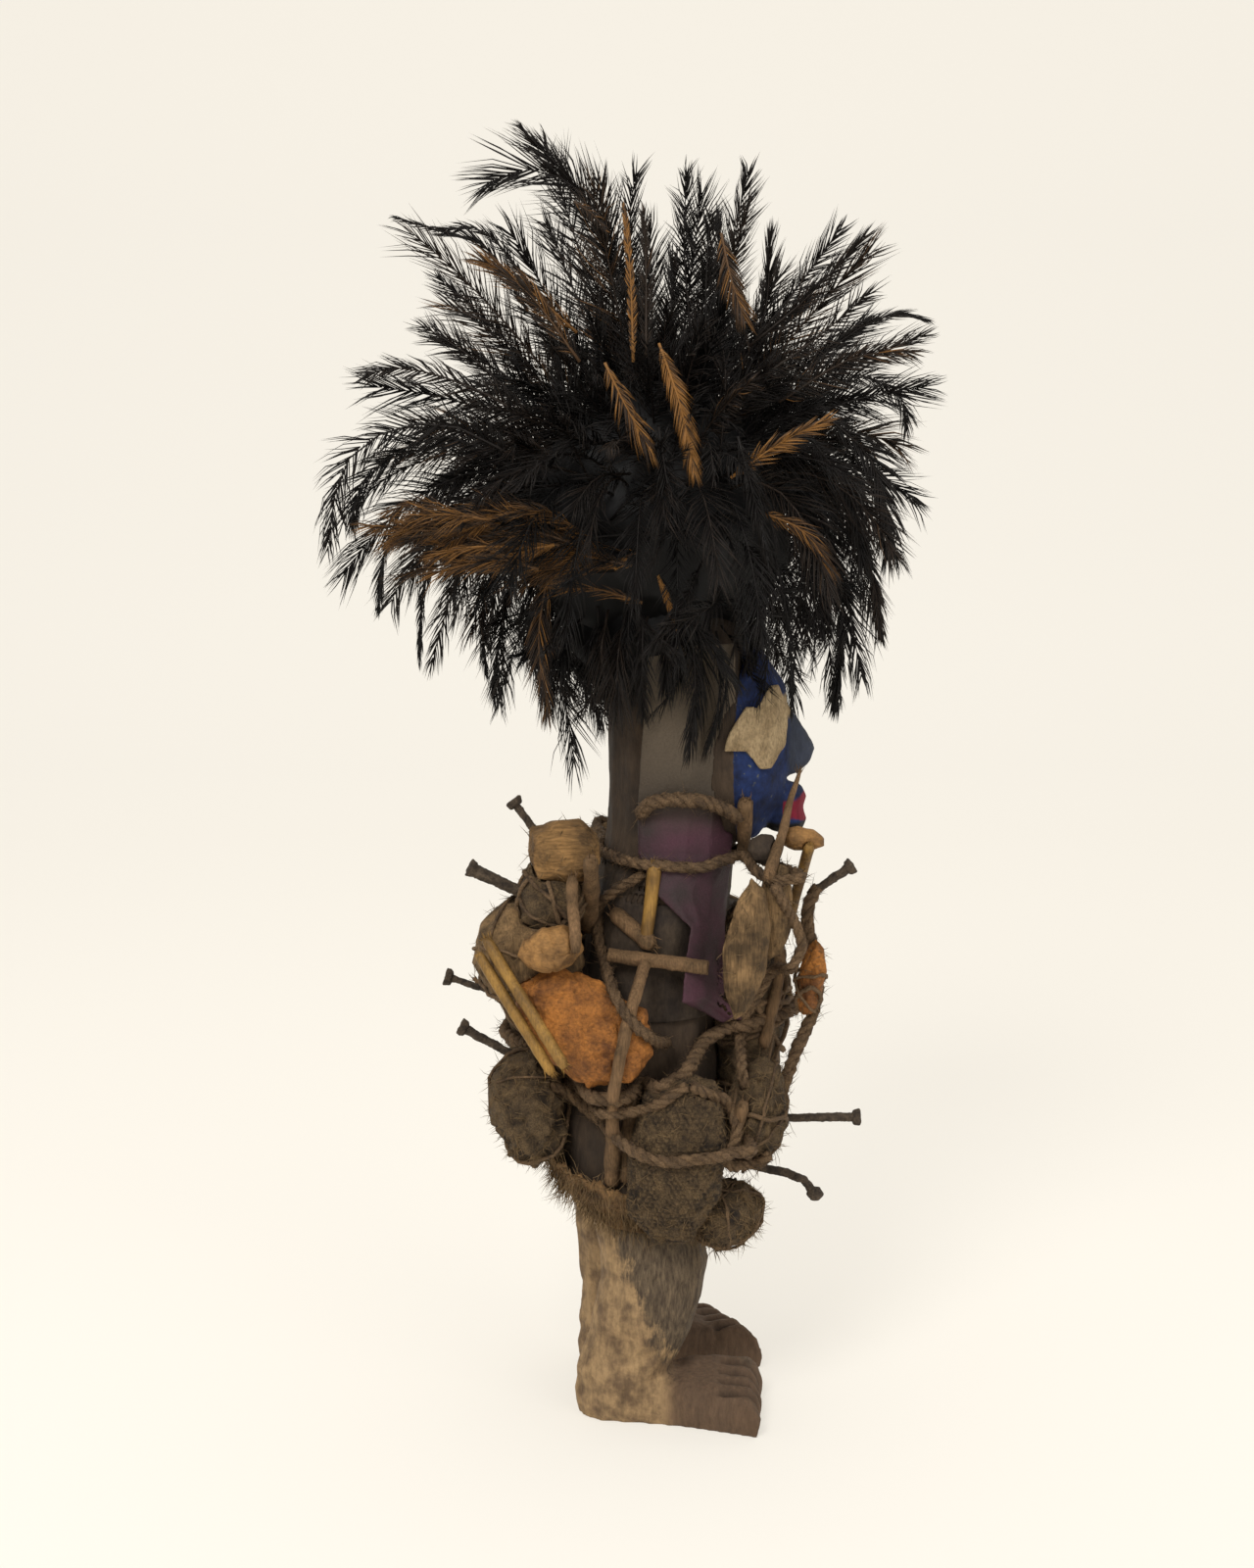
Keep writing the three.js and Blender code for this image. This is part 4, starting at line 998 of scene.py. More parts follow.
# Feathers seen one by one on the right side: the stops of the quill, the barbs' length, shade
# and kind
SEEN_FEATHERS = (
    (((8, -10, 770), (-22, -6, 838), (-60, 0, 862), (-104, 4, 850)), 44, 0.35, Vane.PLUME),
    (((0, 0, 780), (-34, 0, 850), (-62, 0, 880), (-74, 0, 900)), 30, 0.4, Vane.WISP),
    (((-6, -10, 740), (-14, -8, 820), (-18, -6, 862)), 30, 0.3, Vane.PLUME),
    (((4, -20, 745), (2, -16, 830), (8, -14, 868)), 26, 0.25, Vane.PLUME),
    (((-34, -66, 840), (-22, -66, 832), (-12, -66, 820)), 9, 0.62, Vane.PLUME),
    (((-60, 0, 780), (-94, -4, 822), (-128, 0, 824), (-163, 0, 835)), 13, 0.35, Vane.WISP),
    (((-66, -10, 770), (-94, -8, 812), (-126, 0, 822)), 26, 0.3, Vane.WISP),
    (((-32, -84, 758), (-64, -86, 786), (-98, -80, 806)), 26, 0.84, Vane.WISP),
    (((-30, -96, 740), (-58, -92, 778), (-84, -86, 800)), 22, 0.7, Vane.WISP),
    (((4, -100, 740), (2, -92, 796), (-3, -76, 845)), 7, 0.88, Vane.BLADE),
    (((12, -96, 744), (12, -80, 800), (10, -70, 842)), 16, 0.55, Vane.WISP),
    (((44, -10, 742), (38, -6, 810), (40, 0, 870)), 24, 0.3, Vane.PLUME),
    (((52, -30, 740), (52, -26, 790), (55, -20, 838)), 26, 0.35, Vane.PLUME),
    (((60, -10, 738), (70, 0, 810), (82, 0, 870)), 26, 0.35, Vane.PLUME),
    (((64, -20, 730), (62, -14, 790), (60, -10, 838)), 22, 0.3, Vane.WISP),
    (((74, -16, 730), (92, -10, 770), (95, -6, 826)), 26, 0.4, Vane.WISP),
    (((60, -74, 820), (66, -86, 792), (76, -94, 762)), 20, 0.74, Vane.BLADE),
    (((80, -40, 748), (118, -40, 780), (160, -36, 824)), 24, 0.42, Vane.WISP),
    (((84, -20, 750), (116, -14, 790), (146, -6, 830)), 26, 0.35, Vane.PLUME),
    (((86, -60, 728), (126, -52, 756), (162, -44, 786)), 24, 0.45, Vane.PLUME),
    (((110, -20, 724), (150, -10, 756), (180, 0, 768), (208, 0, 762)), 16, 0.35, Vane.WISP),
    (((100, -40, 712), (150, -24, 740), (199, -10, 744)), 24, 0.6, Vane.PLUME),
    (((100, -30, 690), (150, -20, 728), (184, -10, 712), (189, 0, 681)), 22, 0.3, Vane.PLUME),
    (((-60, -16, 730), (-98, -10, 768), (-130, -6, 796)), 24, 0.3, Vane.PLUME),
    (((-70, -40, 712), (-104, -34, 742), (-140, -26, 764)), 24, 0.4, Vane.PLUME),
    (((-60, -60, 700), (-100, -60, 722), (-146, -44, 734), (-181, -30, 727)), 26, 0.45, Vane.PLUME),
    (((-62, -66, 672), (-124, -66, 700), (-182, -60, 676), (-201, -52, 600)), 30, 0.35, Vane.PLUME),
    (((-60, -50, 660), (-118, -50, 690), (-172, -44, 664), (-186, -36, 618)), 30, 0.15, Vane.PLUME),
    (((-140, -36, 640), (-162, -34, 612), (-168, -30, 568)), 16, 0.1, Vane.WISP),
    (((-118, -34, 630), (-136, -32, 590), (-141, -30, 530)), 14, 0.1, Vane.WISP),
    (((-84, -20, 610), (-98, -16, 570), (-96, -10, 520)), 16, 0.1, Vane.WISP),
    (((-74, -14, 600), (-86, -8, 560), (-92, -4, 499)), 20, 0.15, Vane.WISP),
    (((20, -112, 752), (34, -122, 712), (44, -122, 664)), 17, 0.97, Vane.BLADE),
    (((-14, -112, 740), (0, -118, 712), (18, -120, 680)), 20, 0.86, Vane.LEAF),
    (((66, -110, 668), (96, -116, 690), (130, -108, 706)), 18, 0.92, Vane.LEAF),
    (((70, -112, 694), (82, -120, 650), (92, -112, 606)), 20, 0.2, Vane.LEAF),
    (((20, -112, 700), (30, -120, 650), (58, -116, 612)), 24, 0.2, Vane.LEAF),
    (((84, -104, 646), (112, -104, 634), (134, -96, 606)), 20, 0.84, Vane.WISP),
    (((130, -44, 704), (160, -42, 676), (172, -40, 640), (174, -38, 604)), 34, 0.3, Vane.LEAF),
    (((120, -50, 690), (148, -46, 650), (158, -42, 600)), 32, 0.2, Vane.LEAF),
    (((130, -30, 640), (146, -26, 570), (141, -20, 494)), 24, 0.15, Vane.LEAF),
    (((146, -30, 640), (164, -26, 600), (174, -20, 546)), 18, 0.5, Vane.LEAF),
    (((96, -60, 620), (108, -56, 560), (111, -50, 496)), 12, 0.15, Vane.WISP),
    (((20, -94, 604), (26, -94, 588), (33, -92, 566)), 6, 0.98, Vane.BLADE),
    (((-50, -70, 610), (-58, -74, 560), (-52, -66, 500)), 26, 0.72, Vane.WISP),
)


@dataclass
class Headdress:
    """The crown of black feathers.

    Attributes:
        plumes: those that make the outline: heading of the tip in the side view, reach and droop.
        fill: how many plumes fill the rest of the ball.
        body: how many short feathers cover the heart.
        hanging: how many hang around the head.
    """

    plumes: tuple[tuple[float, float, float], ...] = (
        (-57, 172, 70), (-48, 187, 90), (-38, 176, 70), (-29, 179, 84), (-10, 170, 60), (4, 180, 40),
        (16, 180, 30), (28, 207, 16), (35, 232, 12), (44, 205, 8), (53, 240, 10), (64, 196, 4),
        (75, 237, 0), (83, 236, 0), (92, 210, 0), (101, 240, 0), (107, 284, 10), (117, 232, 6),
        (131, 270, 30), (141, 205, 14), (154, 224, 14), (168, 200, 24), (182, 228, 74), (190, 222, 70),
        (199, 204, 64), (213, 190, 70), (230, 172, 60), (243, 168, 50), (252, 182, 60),
    )
    fill: int = 100
    body: int = 136
    hanging: int = 50

    CROWN = np.array([22.0, 0.0, 625.0])
    START = 66.0
    LIFT = 0.55
    GOLDEN = 137.508
    CORE = 158.0
    EDGE = 0.95
    TUFTS = 40

    @staticmethod
    def bent(root: np.ndarray, leave: np.ndarray, tip: np.ndarray, droop: float) -> np.ndarray:
        """Gives stops of a quill that leaves one way and droops towards its tip."""
        reach = np.linalg.norm(tip - root)
        rise = root + leave * reach * 0.4
        crest = mix(tip, root, 0.25) + UP * droop * 0.7
        t = np.linspace(0, 1, 7)[:, None]
        return root * (1 - t) ** 3 + 3 * rise * t * (1 - t) ** 2 + 3 * crest * t**2 * (1 - t) + tip * t**3

    @staticmethod
    def towards(turn: float, lift: float) -> np.ndarray:
        """Gives the direction at a turn, in radians, and a lift, in degrees."""
        flat = math.cos(degrees(lift))
        return np.array([math.cos(turn) * flat, math.sin(turn) * flat, math.sin(degrees(lift))])

    def outline(self, draw: np.random.Generator) -> Iterable[Feather]:
        """Gives the plumes of the outline, each with a companion set back from it."""
        for i, (heading, reach, droop) in enumerate(self.plumes):
            sway = math.sin(i * 2.4) * 42
            for turn, share, aside in ((0, 1.0, 0), (4, 0.8, 34)):
                lifted = mix(heading + turn, 90, self.LIFT * abs(heading + turn - 90) / 150)
                direction = self.towards(0.0, heading + turn)
                leave = self.towards(0.0, lifted)
                tip = self.CROWN + direction * reach * share + np.array([0, sway + aside, 0])
                root = self.CROWN + leave * self.START + np.array([0, sway * 0.4, 0])
                facing = unit(TOWARDS_VIEW + draw.normal(0, 0.35, 3))
                yield Feather(
                    self.bent(root, leave, tip, droop), facing, barbs=78, barb=draw.uniform(26, 44),
                    curl=draw.uniform(0.2, 1.2), hang=draw.uniform(0.05, 0.4), tone=draw.uniform(0.15, 0.62),
                )

    def all_round(self, draw: np.random.Generator) -> Iterable[Feather]:
        """Gives the plumes that fill the ball on every side."""
        for i in range(self.fill):
            lift = -36 + 116 * ((i + 0.5) / self.fill)
            turn = degrees(i * self.GOLDEN)
            direction = self.towards(turn, lift)
            seen = math.hypot(direction[0], direction[2])
            reach = min(mix(165, 215, smoothstep(0, 70, lift)), self.CORE / seen) * draw.uniform(0.82, 1.05)
            droop = mix(80, 6, smoothstep(-30, 45, lift))
            leave = self.towards(turn, mix(lift, 90, self.LIFT * (90 - lift) / 150))
            stops = self.bent(self.CROWN + leave * self.START, leave, self.CROWN + direction * reach, droop)
            yield Feather(
                stops, unit(direction + draw.normal(0, 0.5, 3) + UP * 0.4), barbs=50,
                barb=draw.uniform(24, 38), curl=draw.uniform(0.2, 1.0), hang=draw.uniform(0.1, 0.4),
                tone=draw.uniform(0.05, 0.6),
            )

    def covering(self, draw: np.random.Generator) -> Iterable[Feather]:
        """Gives the short feathers that cover the heart of the headdress."""
        for i in range(self.body):
            lift = -58 + 146 * ((i + 0.5) / self.body)
            turn = degrees(i * self.GOLDEN)
            out = self.towards(turn, lift)
            root = self.CROWN + out * 80
            ahead = self.towards(turn + draw.normal(0, 0.5), lift + draw.normal(-6, 22))
            tip = self.CROWN + ahead * draw.uniform(126, 156) + UP * draw.uniform(-16, 6)
            middle = (root + tip) / 2 + unit(out + UP * 0.5) * draw.uniform(4, 20)
            kind = Vane.LEAF if i % 4 == 0 else Vane.PLUME
            yield Feather(
                (root, middle, tip), unit(out + draw.normal(0, 0.5, 3)), kind, barbs=32,
                barb=draw.uniform(18, 30), curl=draw.uniform(0.2, 1.2), hang=0.3, tone=draw.uniform(0.0, 0.5),
            )

    def skirt(self, draw: np.random.Generator) -> Iterable[Feather]:
        """Gives the feathers that hang around the neck below the ball."""
        for i in range(self.hanging):
            turn = degrees(360 * i * 0.618)
            out = self.towards(turn, 0)
            top = np.array([14.0, 0.0, draw.uniform(560, 610)]) + out * draw.uniform(50, 74)
            low = draw.uniform(474, 540)
            away = np.array([62.0, 62.0, 0.0]) * draw.uniform(0.85, 1.2)
            tip = np.array([14.0, 0.0, low]) + out * away
            middle = mix(top, tip, 0.45) + out * 14
            yield Feather(
                (top, middle, tip), unit(out + draw.normal(0, 0.4, 3)), Vane.WISP, barbs=40,
                barb=draw.uniform(22, 38), curl=0.4, hang=0.5, tone=draw.uniform(0.1, 0.5),
            )

    def seen(self, draw: np.random.Generator) -> Iterable[Feather]:
        """Gives the feathers that are laid one by one."""
        for stops, barb, tone, kind in SEEN_FEATHERS:
            spacing = 1.1 if kind is Vane.BLADE else 1.9
            facing = unit(TOWARDS_VIEW + draw.normal(0, 0.2, 3))
            count = int(run_of(np.array(stops, float)) / spacing)
            hang = 0.05 if kind is Vane.BLADE else 0.2
            yield Feather(
                stops, facing, kind, barbs=count, barb=barb, curl=0.6, hang=hang, tone=tone, bare=0.04
            )

    def band(self, draw: np.random.Generator) -> Iterable[Feather]:
        """Gives the brown, furry plumes that lie at the back under the ball."""
        for i in range(self.TUFTS):
            t = i / (self.TUFTS - 1)
            start = np.array([mix(10, -120, t), draw.uniform(-104, -66), mix(612, 634, t) + draw.normal(0, 9)])
            aim = start + np.array([draw.uniform(-62, -34), draw.uniform(-8, 16), draw.uniform(-14, 12)])
            middle = mix(start, aim, 0.5) + UP * draw.uniform(0, 9)
            yield Feather(
                (start, middle, aim), unit(TOWARDS_VIEW + draw.normal(0, 0.3, 3)), Vane.FUR, barbs=42,
                barb=draw.uniform(14, 28), curl=0.4, hang=0.25, tone=draw.uniform(0.58, 0.98), bare=0.0,
            )

    def build(self) -> None:
        """Builds every group of feathers as a piece of its own, and the dark heart inside them."""
        material = Plumage().material()
        self.heart(material)
        groups = {
            "outline_plumes": self.outline,
            "round_plumes": self.all_round,
            "short_feathers": self.covering,
            "hanging_feathers": self.skirt,
            "seen_feathers": self.seen,
            "brown_band": self.band,
        }
        for seed, (name, make) in enumerate(groups.items(), start=21):
            draw = np.random.default_rng(seed)
            pile = Pile()
            for feather in make(draw):
                feather.grow(pile, draw)
            pile.points = [self.drawn_in(block) for block in pile.points]
            if name == "brown_band":
                declare(pile.build(name, material), Slot.BROWN_FIBRE.value, "brown_plume_band")
            else:
                declare(pile.build(name, material), Slot.FEATHER.value, "feather_headdress")

    @classmethod
    def drawn_in(cls, points: np.ndarray) -> np.ndarray:
        """Bends the outermost barb ends back, so that they stay within the model's outer box."""
        low, high = (np.array(corner) / MM - SHIFT for corner in CAD_BOUNDS)
        middle, half = (low + high) / 2, (high - low) / 2
        off = (points - middle) / half
        past = np.maximum(np.abs(off) - cls.EDGE, 0) / (1 - cls.EDGE)
        kept = np.minimum(np.abs(off), cls.EDGE) + (1 - cls.EDGE) * np.tanh(past)
        return middle + np.sign(off) * kept * half

    def heart(self, material: bpy.types.Material) -> None:
        """Builds the dense dark mass that the feathers grow out of, and its collar; its deepest tone is partly the
        feathers' black and partly painted shade of the ball's inside.
        """
        ripple = Ripple(5)
        pile = Pile()
        ball = bmesh.new()
        bmesh.ops.create_icosphere(ball, subdivisions=4, radius=1)
        co = np.array([v.co for v in ball.verts])
        faces = np.array([[v.index for v in f.verts] for f in ball.faces])
        ball.free()
        shape = Shape(co[:, :2], co[:, 2], faces, np.empty((0, 4), int))
        reach = 1 + 0.16 * ripple.at(co * 100, 34, 3)
        for middle, size in (
            ((18, 0, 631), (84, 76, 86)),
            ((16, 0, 556), (54, 53, 42)),
            ((-50, -62, 614), (72, 16, 14)),
        ):
            places = co * reach[:, None] * np.array(size) + np.array(middle)
            # Deepest tone: partly the feathers' black, partly painted shade deep inside the ball.
            pile.add(shape, places[None], tone=0.0)
        declare(pile.build("feather_heart", material), Slot.FEATHER.value, "feather_headdress")


@dataclass(frozen=True)
class Foot:
    """One bare foot, seen from above, measured outwards from the middle plane.

    Attributes:
        side: -1 for the right foot, 1 for the left.
        big_toe: front of the big toe.
        little_toe: front of the little toe.
    """

    side: int
    big_toe: tuple[float, float]
    little_toe: tuple[float, float]

    TOES = 5
    GROOVE = 6.5
    GROOVE_HALF = 2.3
    TOE_LENGTH = 32.0

    def carve(self, points: np.ndarray) -> tuple[np.ndarray, np.ndarray]:
        """Parts the toes and rounds their tips.

        Args:
            points: the figure's places.

        Returns:
            The moved places, and how deep in a groove each is, from 0 to 1, which the wood's colour darkens as
            painted shade.
        """
        mine = (points[:, 1] * self.side > 4) & (points[:, 2] < 40)
        x, y, z = points[mine].T
        first = np.array(self.big_toe)
        row = np.array(self.little_toe) - first
        width = np.linalg.norm(row)
        row = row / width
        ahead = np.array([row[1], -row[0]])
        across = (x - first[0]) * row[0] + (y * self.side - first[1]) * row[1]
        behind = -((x - first[0]) * ahead[0] + (y * self.side - first[1]) * ahead[1])
        toe = (across / width - 0.12) / 0.84 * self.TOES
        edge = np.clip(np.rint(toe), 1, self.TOES - 1)
        apart = np.abs(toe - edge) * width * 0.84 / self.TOES
        near = 1 - smoothstep(self.TOE_LENGTH * 0.75, self.TOE_LENGTH, behind)
        groove = np.exp(-((apart / self.GROOVE_HALF) ** 2)) * near
        groove_shade = np.zeros(len(points))
        # Groove depth, kept as painted shade for the wood's colour.
        groove_shade[mine] = groove * smoothstep(8, 20, z)
        crown = np.clip(1 - apart / 6, 0, 1) ** 2 * near
        inner = 1 - smoothstep(0, 50, across)
        z = z + smoothstep(12, 28, z) * (inner * 7 - crown * 2.5) * smoothstep(20, 50, x)
        z = z - groove * self.GROOVE * smoothstep(4, 18, z)
        tip = 1 - smoothstep(0, 14, behind)
        z = z - smoothstep(10, 32, z) * tip**2 * 7
        back = tip * smoothstep(3, 14, z) * (groove * 3.5 + smoothstep(20, 36, z) * 2)
        moved = points.copy()
        moved[mine] = np.stack([x - ahead[0] * back, y - self.side * ahead[1] * back, z], axis=1)
        return moved, groove_shade


@dataclass
class CarvedFigure:
    """The wooden figure: trunk, legs, feet and painted face.

    Attributes:
        voxel: the size of its faces.
        relief: depth of its tool marks.
        feet: its two feet.
    """

    voxel: float = 2.6
    relief: float = 0.8
    feet: tuple[Foot, ...] = (Foot(-1, (98, 16), (93, 92)), Foot(1, (101, 20), (66, 94)))

    FAR_CALF_BACK = 8.0
    NEAR_CALF_IN = 11.0

    def build(self) -> None:
        """Builds the figure."""
        wood = Sculpt.of_node("carved_figure", self.voxel, 4)
        ripple = Ripple(2)
        groove_shades = np.zeros(len(wood.points))
        for foot in self.feet:
            wood.points, groove_shade = foot.carve(wood.points)
            groove_shades = np.maximum(groove_shades, groove_shade)
        x, y, z = wood.points.T
        calf = smoothstep(30, 80, z) * (1 - smoothstep(130, 175, z)) * (y > 6) * (1 - smoothstep(0, 60, x))
        wood.points[:, 0] -= calf * self.FAR_CALF_BACK
        hollow = np.exp(-(((z - 112) / 30) ** 2)) * (1 - smoothstep(-20, 16, x))
        hollow = hollow * (y < -6) * (z > 36) * (z < 172)
        wood.points[:, 0] += hollow * self.NEAR_CALF_IN
        wood.write()
        marks = ripple.at(wood.points, (12, 12, 26), 4) * self.relief
        chips = np.maximum(0, ripple.at(wood.points + 33, (9, 9, 12), 2) - 0.45) * 2.6
        shins = 1 - smoothstep(150, 200, wood.points[:, 2])
        wood.push((marks - chips * shins) * smoothstep(0, 6, wood.points[:, 2]))
        wood.points[:, 2] = np.maximum(wood.points[:, 2], 0.0)
        wood.write()
        for name, values in self.masks(wood.points).items():
            set_value(wood.data, name, values)
        # Painted shade in the toe grooves, read by the wood's material.
        set_value(wood.data, "groove_shade", groove_shades)
        declare(wood.build("figure_wood", WOOD.material()), Slot.WOOD.value, "carved_figure")

    @staticmethod
    def masks(points: np.ndarray) -> dict[str, np.ndarray]:
        """Gives how far each point is inside each painted or dusty area, in centimetres."""
        x, y, z = points.T
        none = -3.0
        face_edge = 72 + 0.0012 * (z - 470) ** 2
        return {
            "shin": (168 - z) / 10,
            "tan": np.where(z < 175, (43 - 0.43 * z - x) / 10, none),
            "earth": np.where(z < 70, np.minimum(x - 30, 40 - z) / 10 - np.maximum(0, x - 76) / 16, none),
            "blue": np.where((z > 412) & (z < 572), (x - face_edge) / 10, none),
            "grey": np.where((z > 450) & (z < 512), (x - 111) / 10, none),
            "red": np.where(x > 107, 1 - np.hypot(y / 22, (z - 433) / 11), none),
            "black": np.where((x > 96) & (z > 405), (423 - z) / 10, none),
            "bridge": np.where(x > 100, (5 - np.hypot(x - 107, z - 504) * 0.6) / 10, none),
        }


@dataclass
class DressedNode:
    """A packet, hide or pod whose solid is copied, made fine and roughened.

    Attributes:
        node: the node that it stands for.
        finish: its surface.
        slot: its material slot.
        voxel: the size of its faces.
        soften: how often its facets are smoothed.
        bumps: depth of its bumps.
        size: size of a bump, for each axis.
        creases: depth of sharp creases.
    """

    node: str
    finish: Finish
    slot: Slot
    voxel: float = 1.6
    soften: int = 6
    bumps: float = 1.4
    size: tuple[float, float, float] = (12.0, 12.0, 12.0)
    creases: float = 0.0
    lighten: float = 0.6
    swell: float = 0.0
    wound: int = 0
    cord: float = 1.5
    hairs: int = 0
    woven: bool = False

    def build(self) -> Sculpt:
        """Builds the piece and gives the sculpted form."""
        form = Sculpt.of_node(self.node, self.voxel, self.soften, self.lighten)
        ripple = Ripple(len(self.node) * 7 + ord(self.node[0]))
        push = ripple.at(form.points, self.size, 4) * self.bumps
        if self.creases:
            ridge = 1 - np.abs(ripple.at(form.points + 40, np.array(self.size) * 1.4, 2)) * 2.2
            push -= np.maximum(0, ridge) ** 3 * self.creases
        tone = 0.35 + 0.35 * ripple.at(form.points, 9, 3)
        if self.woven:
            stitch = self.loops(form.points, ripple)
            push += stitch * 2.0
            # Painted shade: the tone follows the loops' relief, darker in the gaps between strings and lighter on
            # them, plus a random cloud.
            tone = stitch * 0.7 + 0.2 * ripple.at(form.points, 14, 2)
        form.push(push + self.swell)
        if self.finish.toned:
            set_value(form.data, "tone", tone)
        STRINGS.dress(self, form)
        declare(form.build(self.node + "_look", material_of(self.finish)), self.slot.value, self.node)
        return form


    def loops(self, points: np.ndarray, ripple: Ripple) -> np.ndarray:
        """Gives the relief of rows of looped string, from 0 in a gap to 1 on a string."""
        low, high = (np.array(c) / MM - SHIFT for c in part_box(self.node))
        middle = (low + high) / 2
        turn = np.arctan2(points[:, 1] - middle[1], points[:, 0] - middle[0])
        across = turn * (high[0] - low[0]) * 0.42 / LOOP_WIDE
        rows = (points[:, 2] + 1.4 * ripple.at(points, 16)) / LOOP_TALL
        across = across + 0.5 * np.floor(rows) + 0.3 * ripple.at(points, 6)
        slant = rows + 0.5 * (across - np.floor(across))
        height = np.sin(math.pi * (slant - np.floor(slant)))
        return np.clip(height * (0.6 + 0.4 * np.sin(TAU * across)), 0, 1)


LOOP_WIDE = 4.6
LOOP_TALL = 3.4


class Strings:
    """The thin cords wound around the packets and the fibres that stand off them."""

    def __init__(self) -> None:
        """Starts with nothing wound."""
        self.cords = Pile()
        self.hairs = Pile()

    def dress(self, node: DressedNode, form: Sculpt) -> None:
        """Winds cords around a packet and sets loose fibres on it.

        Args:
            node: how many cords and fibres it has.
            form: its sculpted form.
        """
        draw = np.random.default_rng(len(node.node) * 13 + ord(node.node[-1]))
        if node.wound:
            ground = Ground([node.node])
            middle = form.points.mean(axis=0)
            for i in range(node.wound):
                axis = unit(draw.normal(0, 1, 3) * np.array([1.0, 1.0, 0.5]) + UP * (i % 3))
                self.wind(ground, middle + draw.normal(0, 5, 3), axis, node.cord, draw)
        if node.hairs:
            index = draw.integers(0, len(form.points), node.hairs)
            out = form.normals[index]
            lean = unit(out * 0.5 + np.cross(out, draw.normal(0, 1, (node.hairs, 3))) - UP * 0.35)
            add_hairs(self.hairs, form.points[index], lean, draw.uniform(4, 15, node.hairs), 0.27, draw, 0.5)

    def wind(
        self, ground: Ground, middle: np.ndarray, axis: np.ndarray, cord: float, draw: np.random.Generator
    ) -> None:
        """Winds one cord around a middle, lying on the ground."""
        first = unit(np.cross(axis, np.array([0.3, 0.5, 0.8])))
        second = np.cross(axis, first)
        path = []
        for angle in np.linspace(0, TAU, 34):
            out = first * math.cos(angle) + second * math.sin(angle)
            found = ground.hit(middle + out * 150, -out)
            if found is not None:
                path.append(found + out * cord * 0.7)
        if len(path) > 20:
            line = np.array(path)
            line += np.stack([RIPPLE.at(line + 40 * k, 11, 2) for k in range(3)], axis=1) * 1.6
            wide = cord * draw.uniform(0.7, 1.15) * (1 + 0.25 * RIPPLE.at(line, 5))
            self.cords.add_tube(line, wide, 5, tone=float(draw.uniform(0.1, 0.9)))

    def build(self) -> None:
        """Builds the two pieces."""
        declare(self.cords.build("wound_cords", material_of(ROPE)), Slot.ROPE.value)
        declare(self.hairs.build("loose_fibres", material_of(HAIR)), Slot.PACKED.value)


RIPPLE = Ripple(1)
STRINGS = Strings()
MATERIALS: dict[str, bpy.types.Material] = {}


def material_of(finish: Finish) -> bpy.types.Material:
    """Makes a finish's material once and gives it to every piece that asks."""
    if finish.name not in MATERIALS:
        MATERIALS[finish.name] = finish.material()
    return MATERIALS[finish.name]


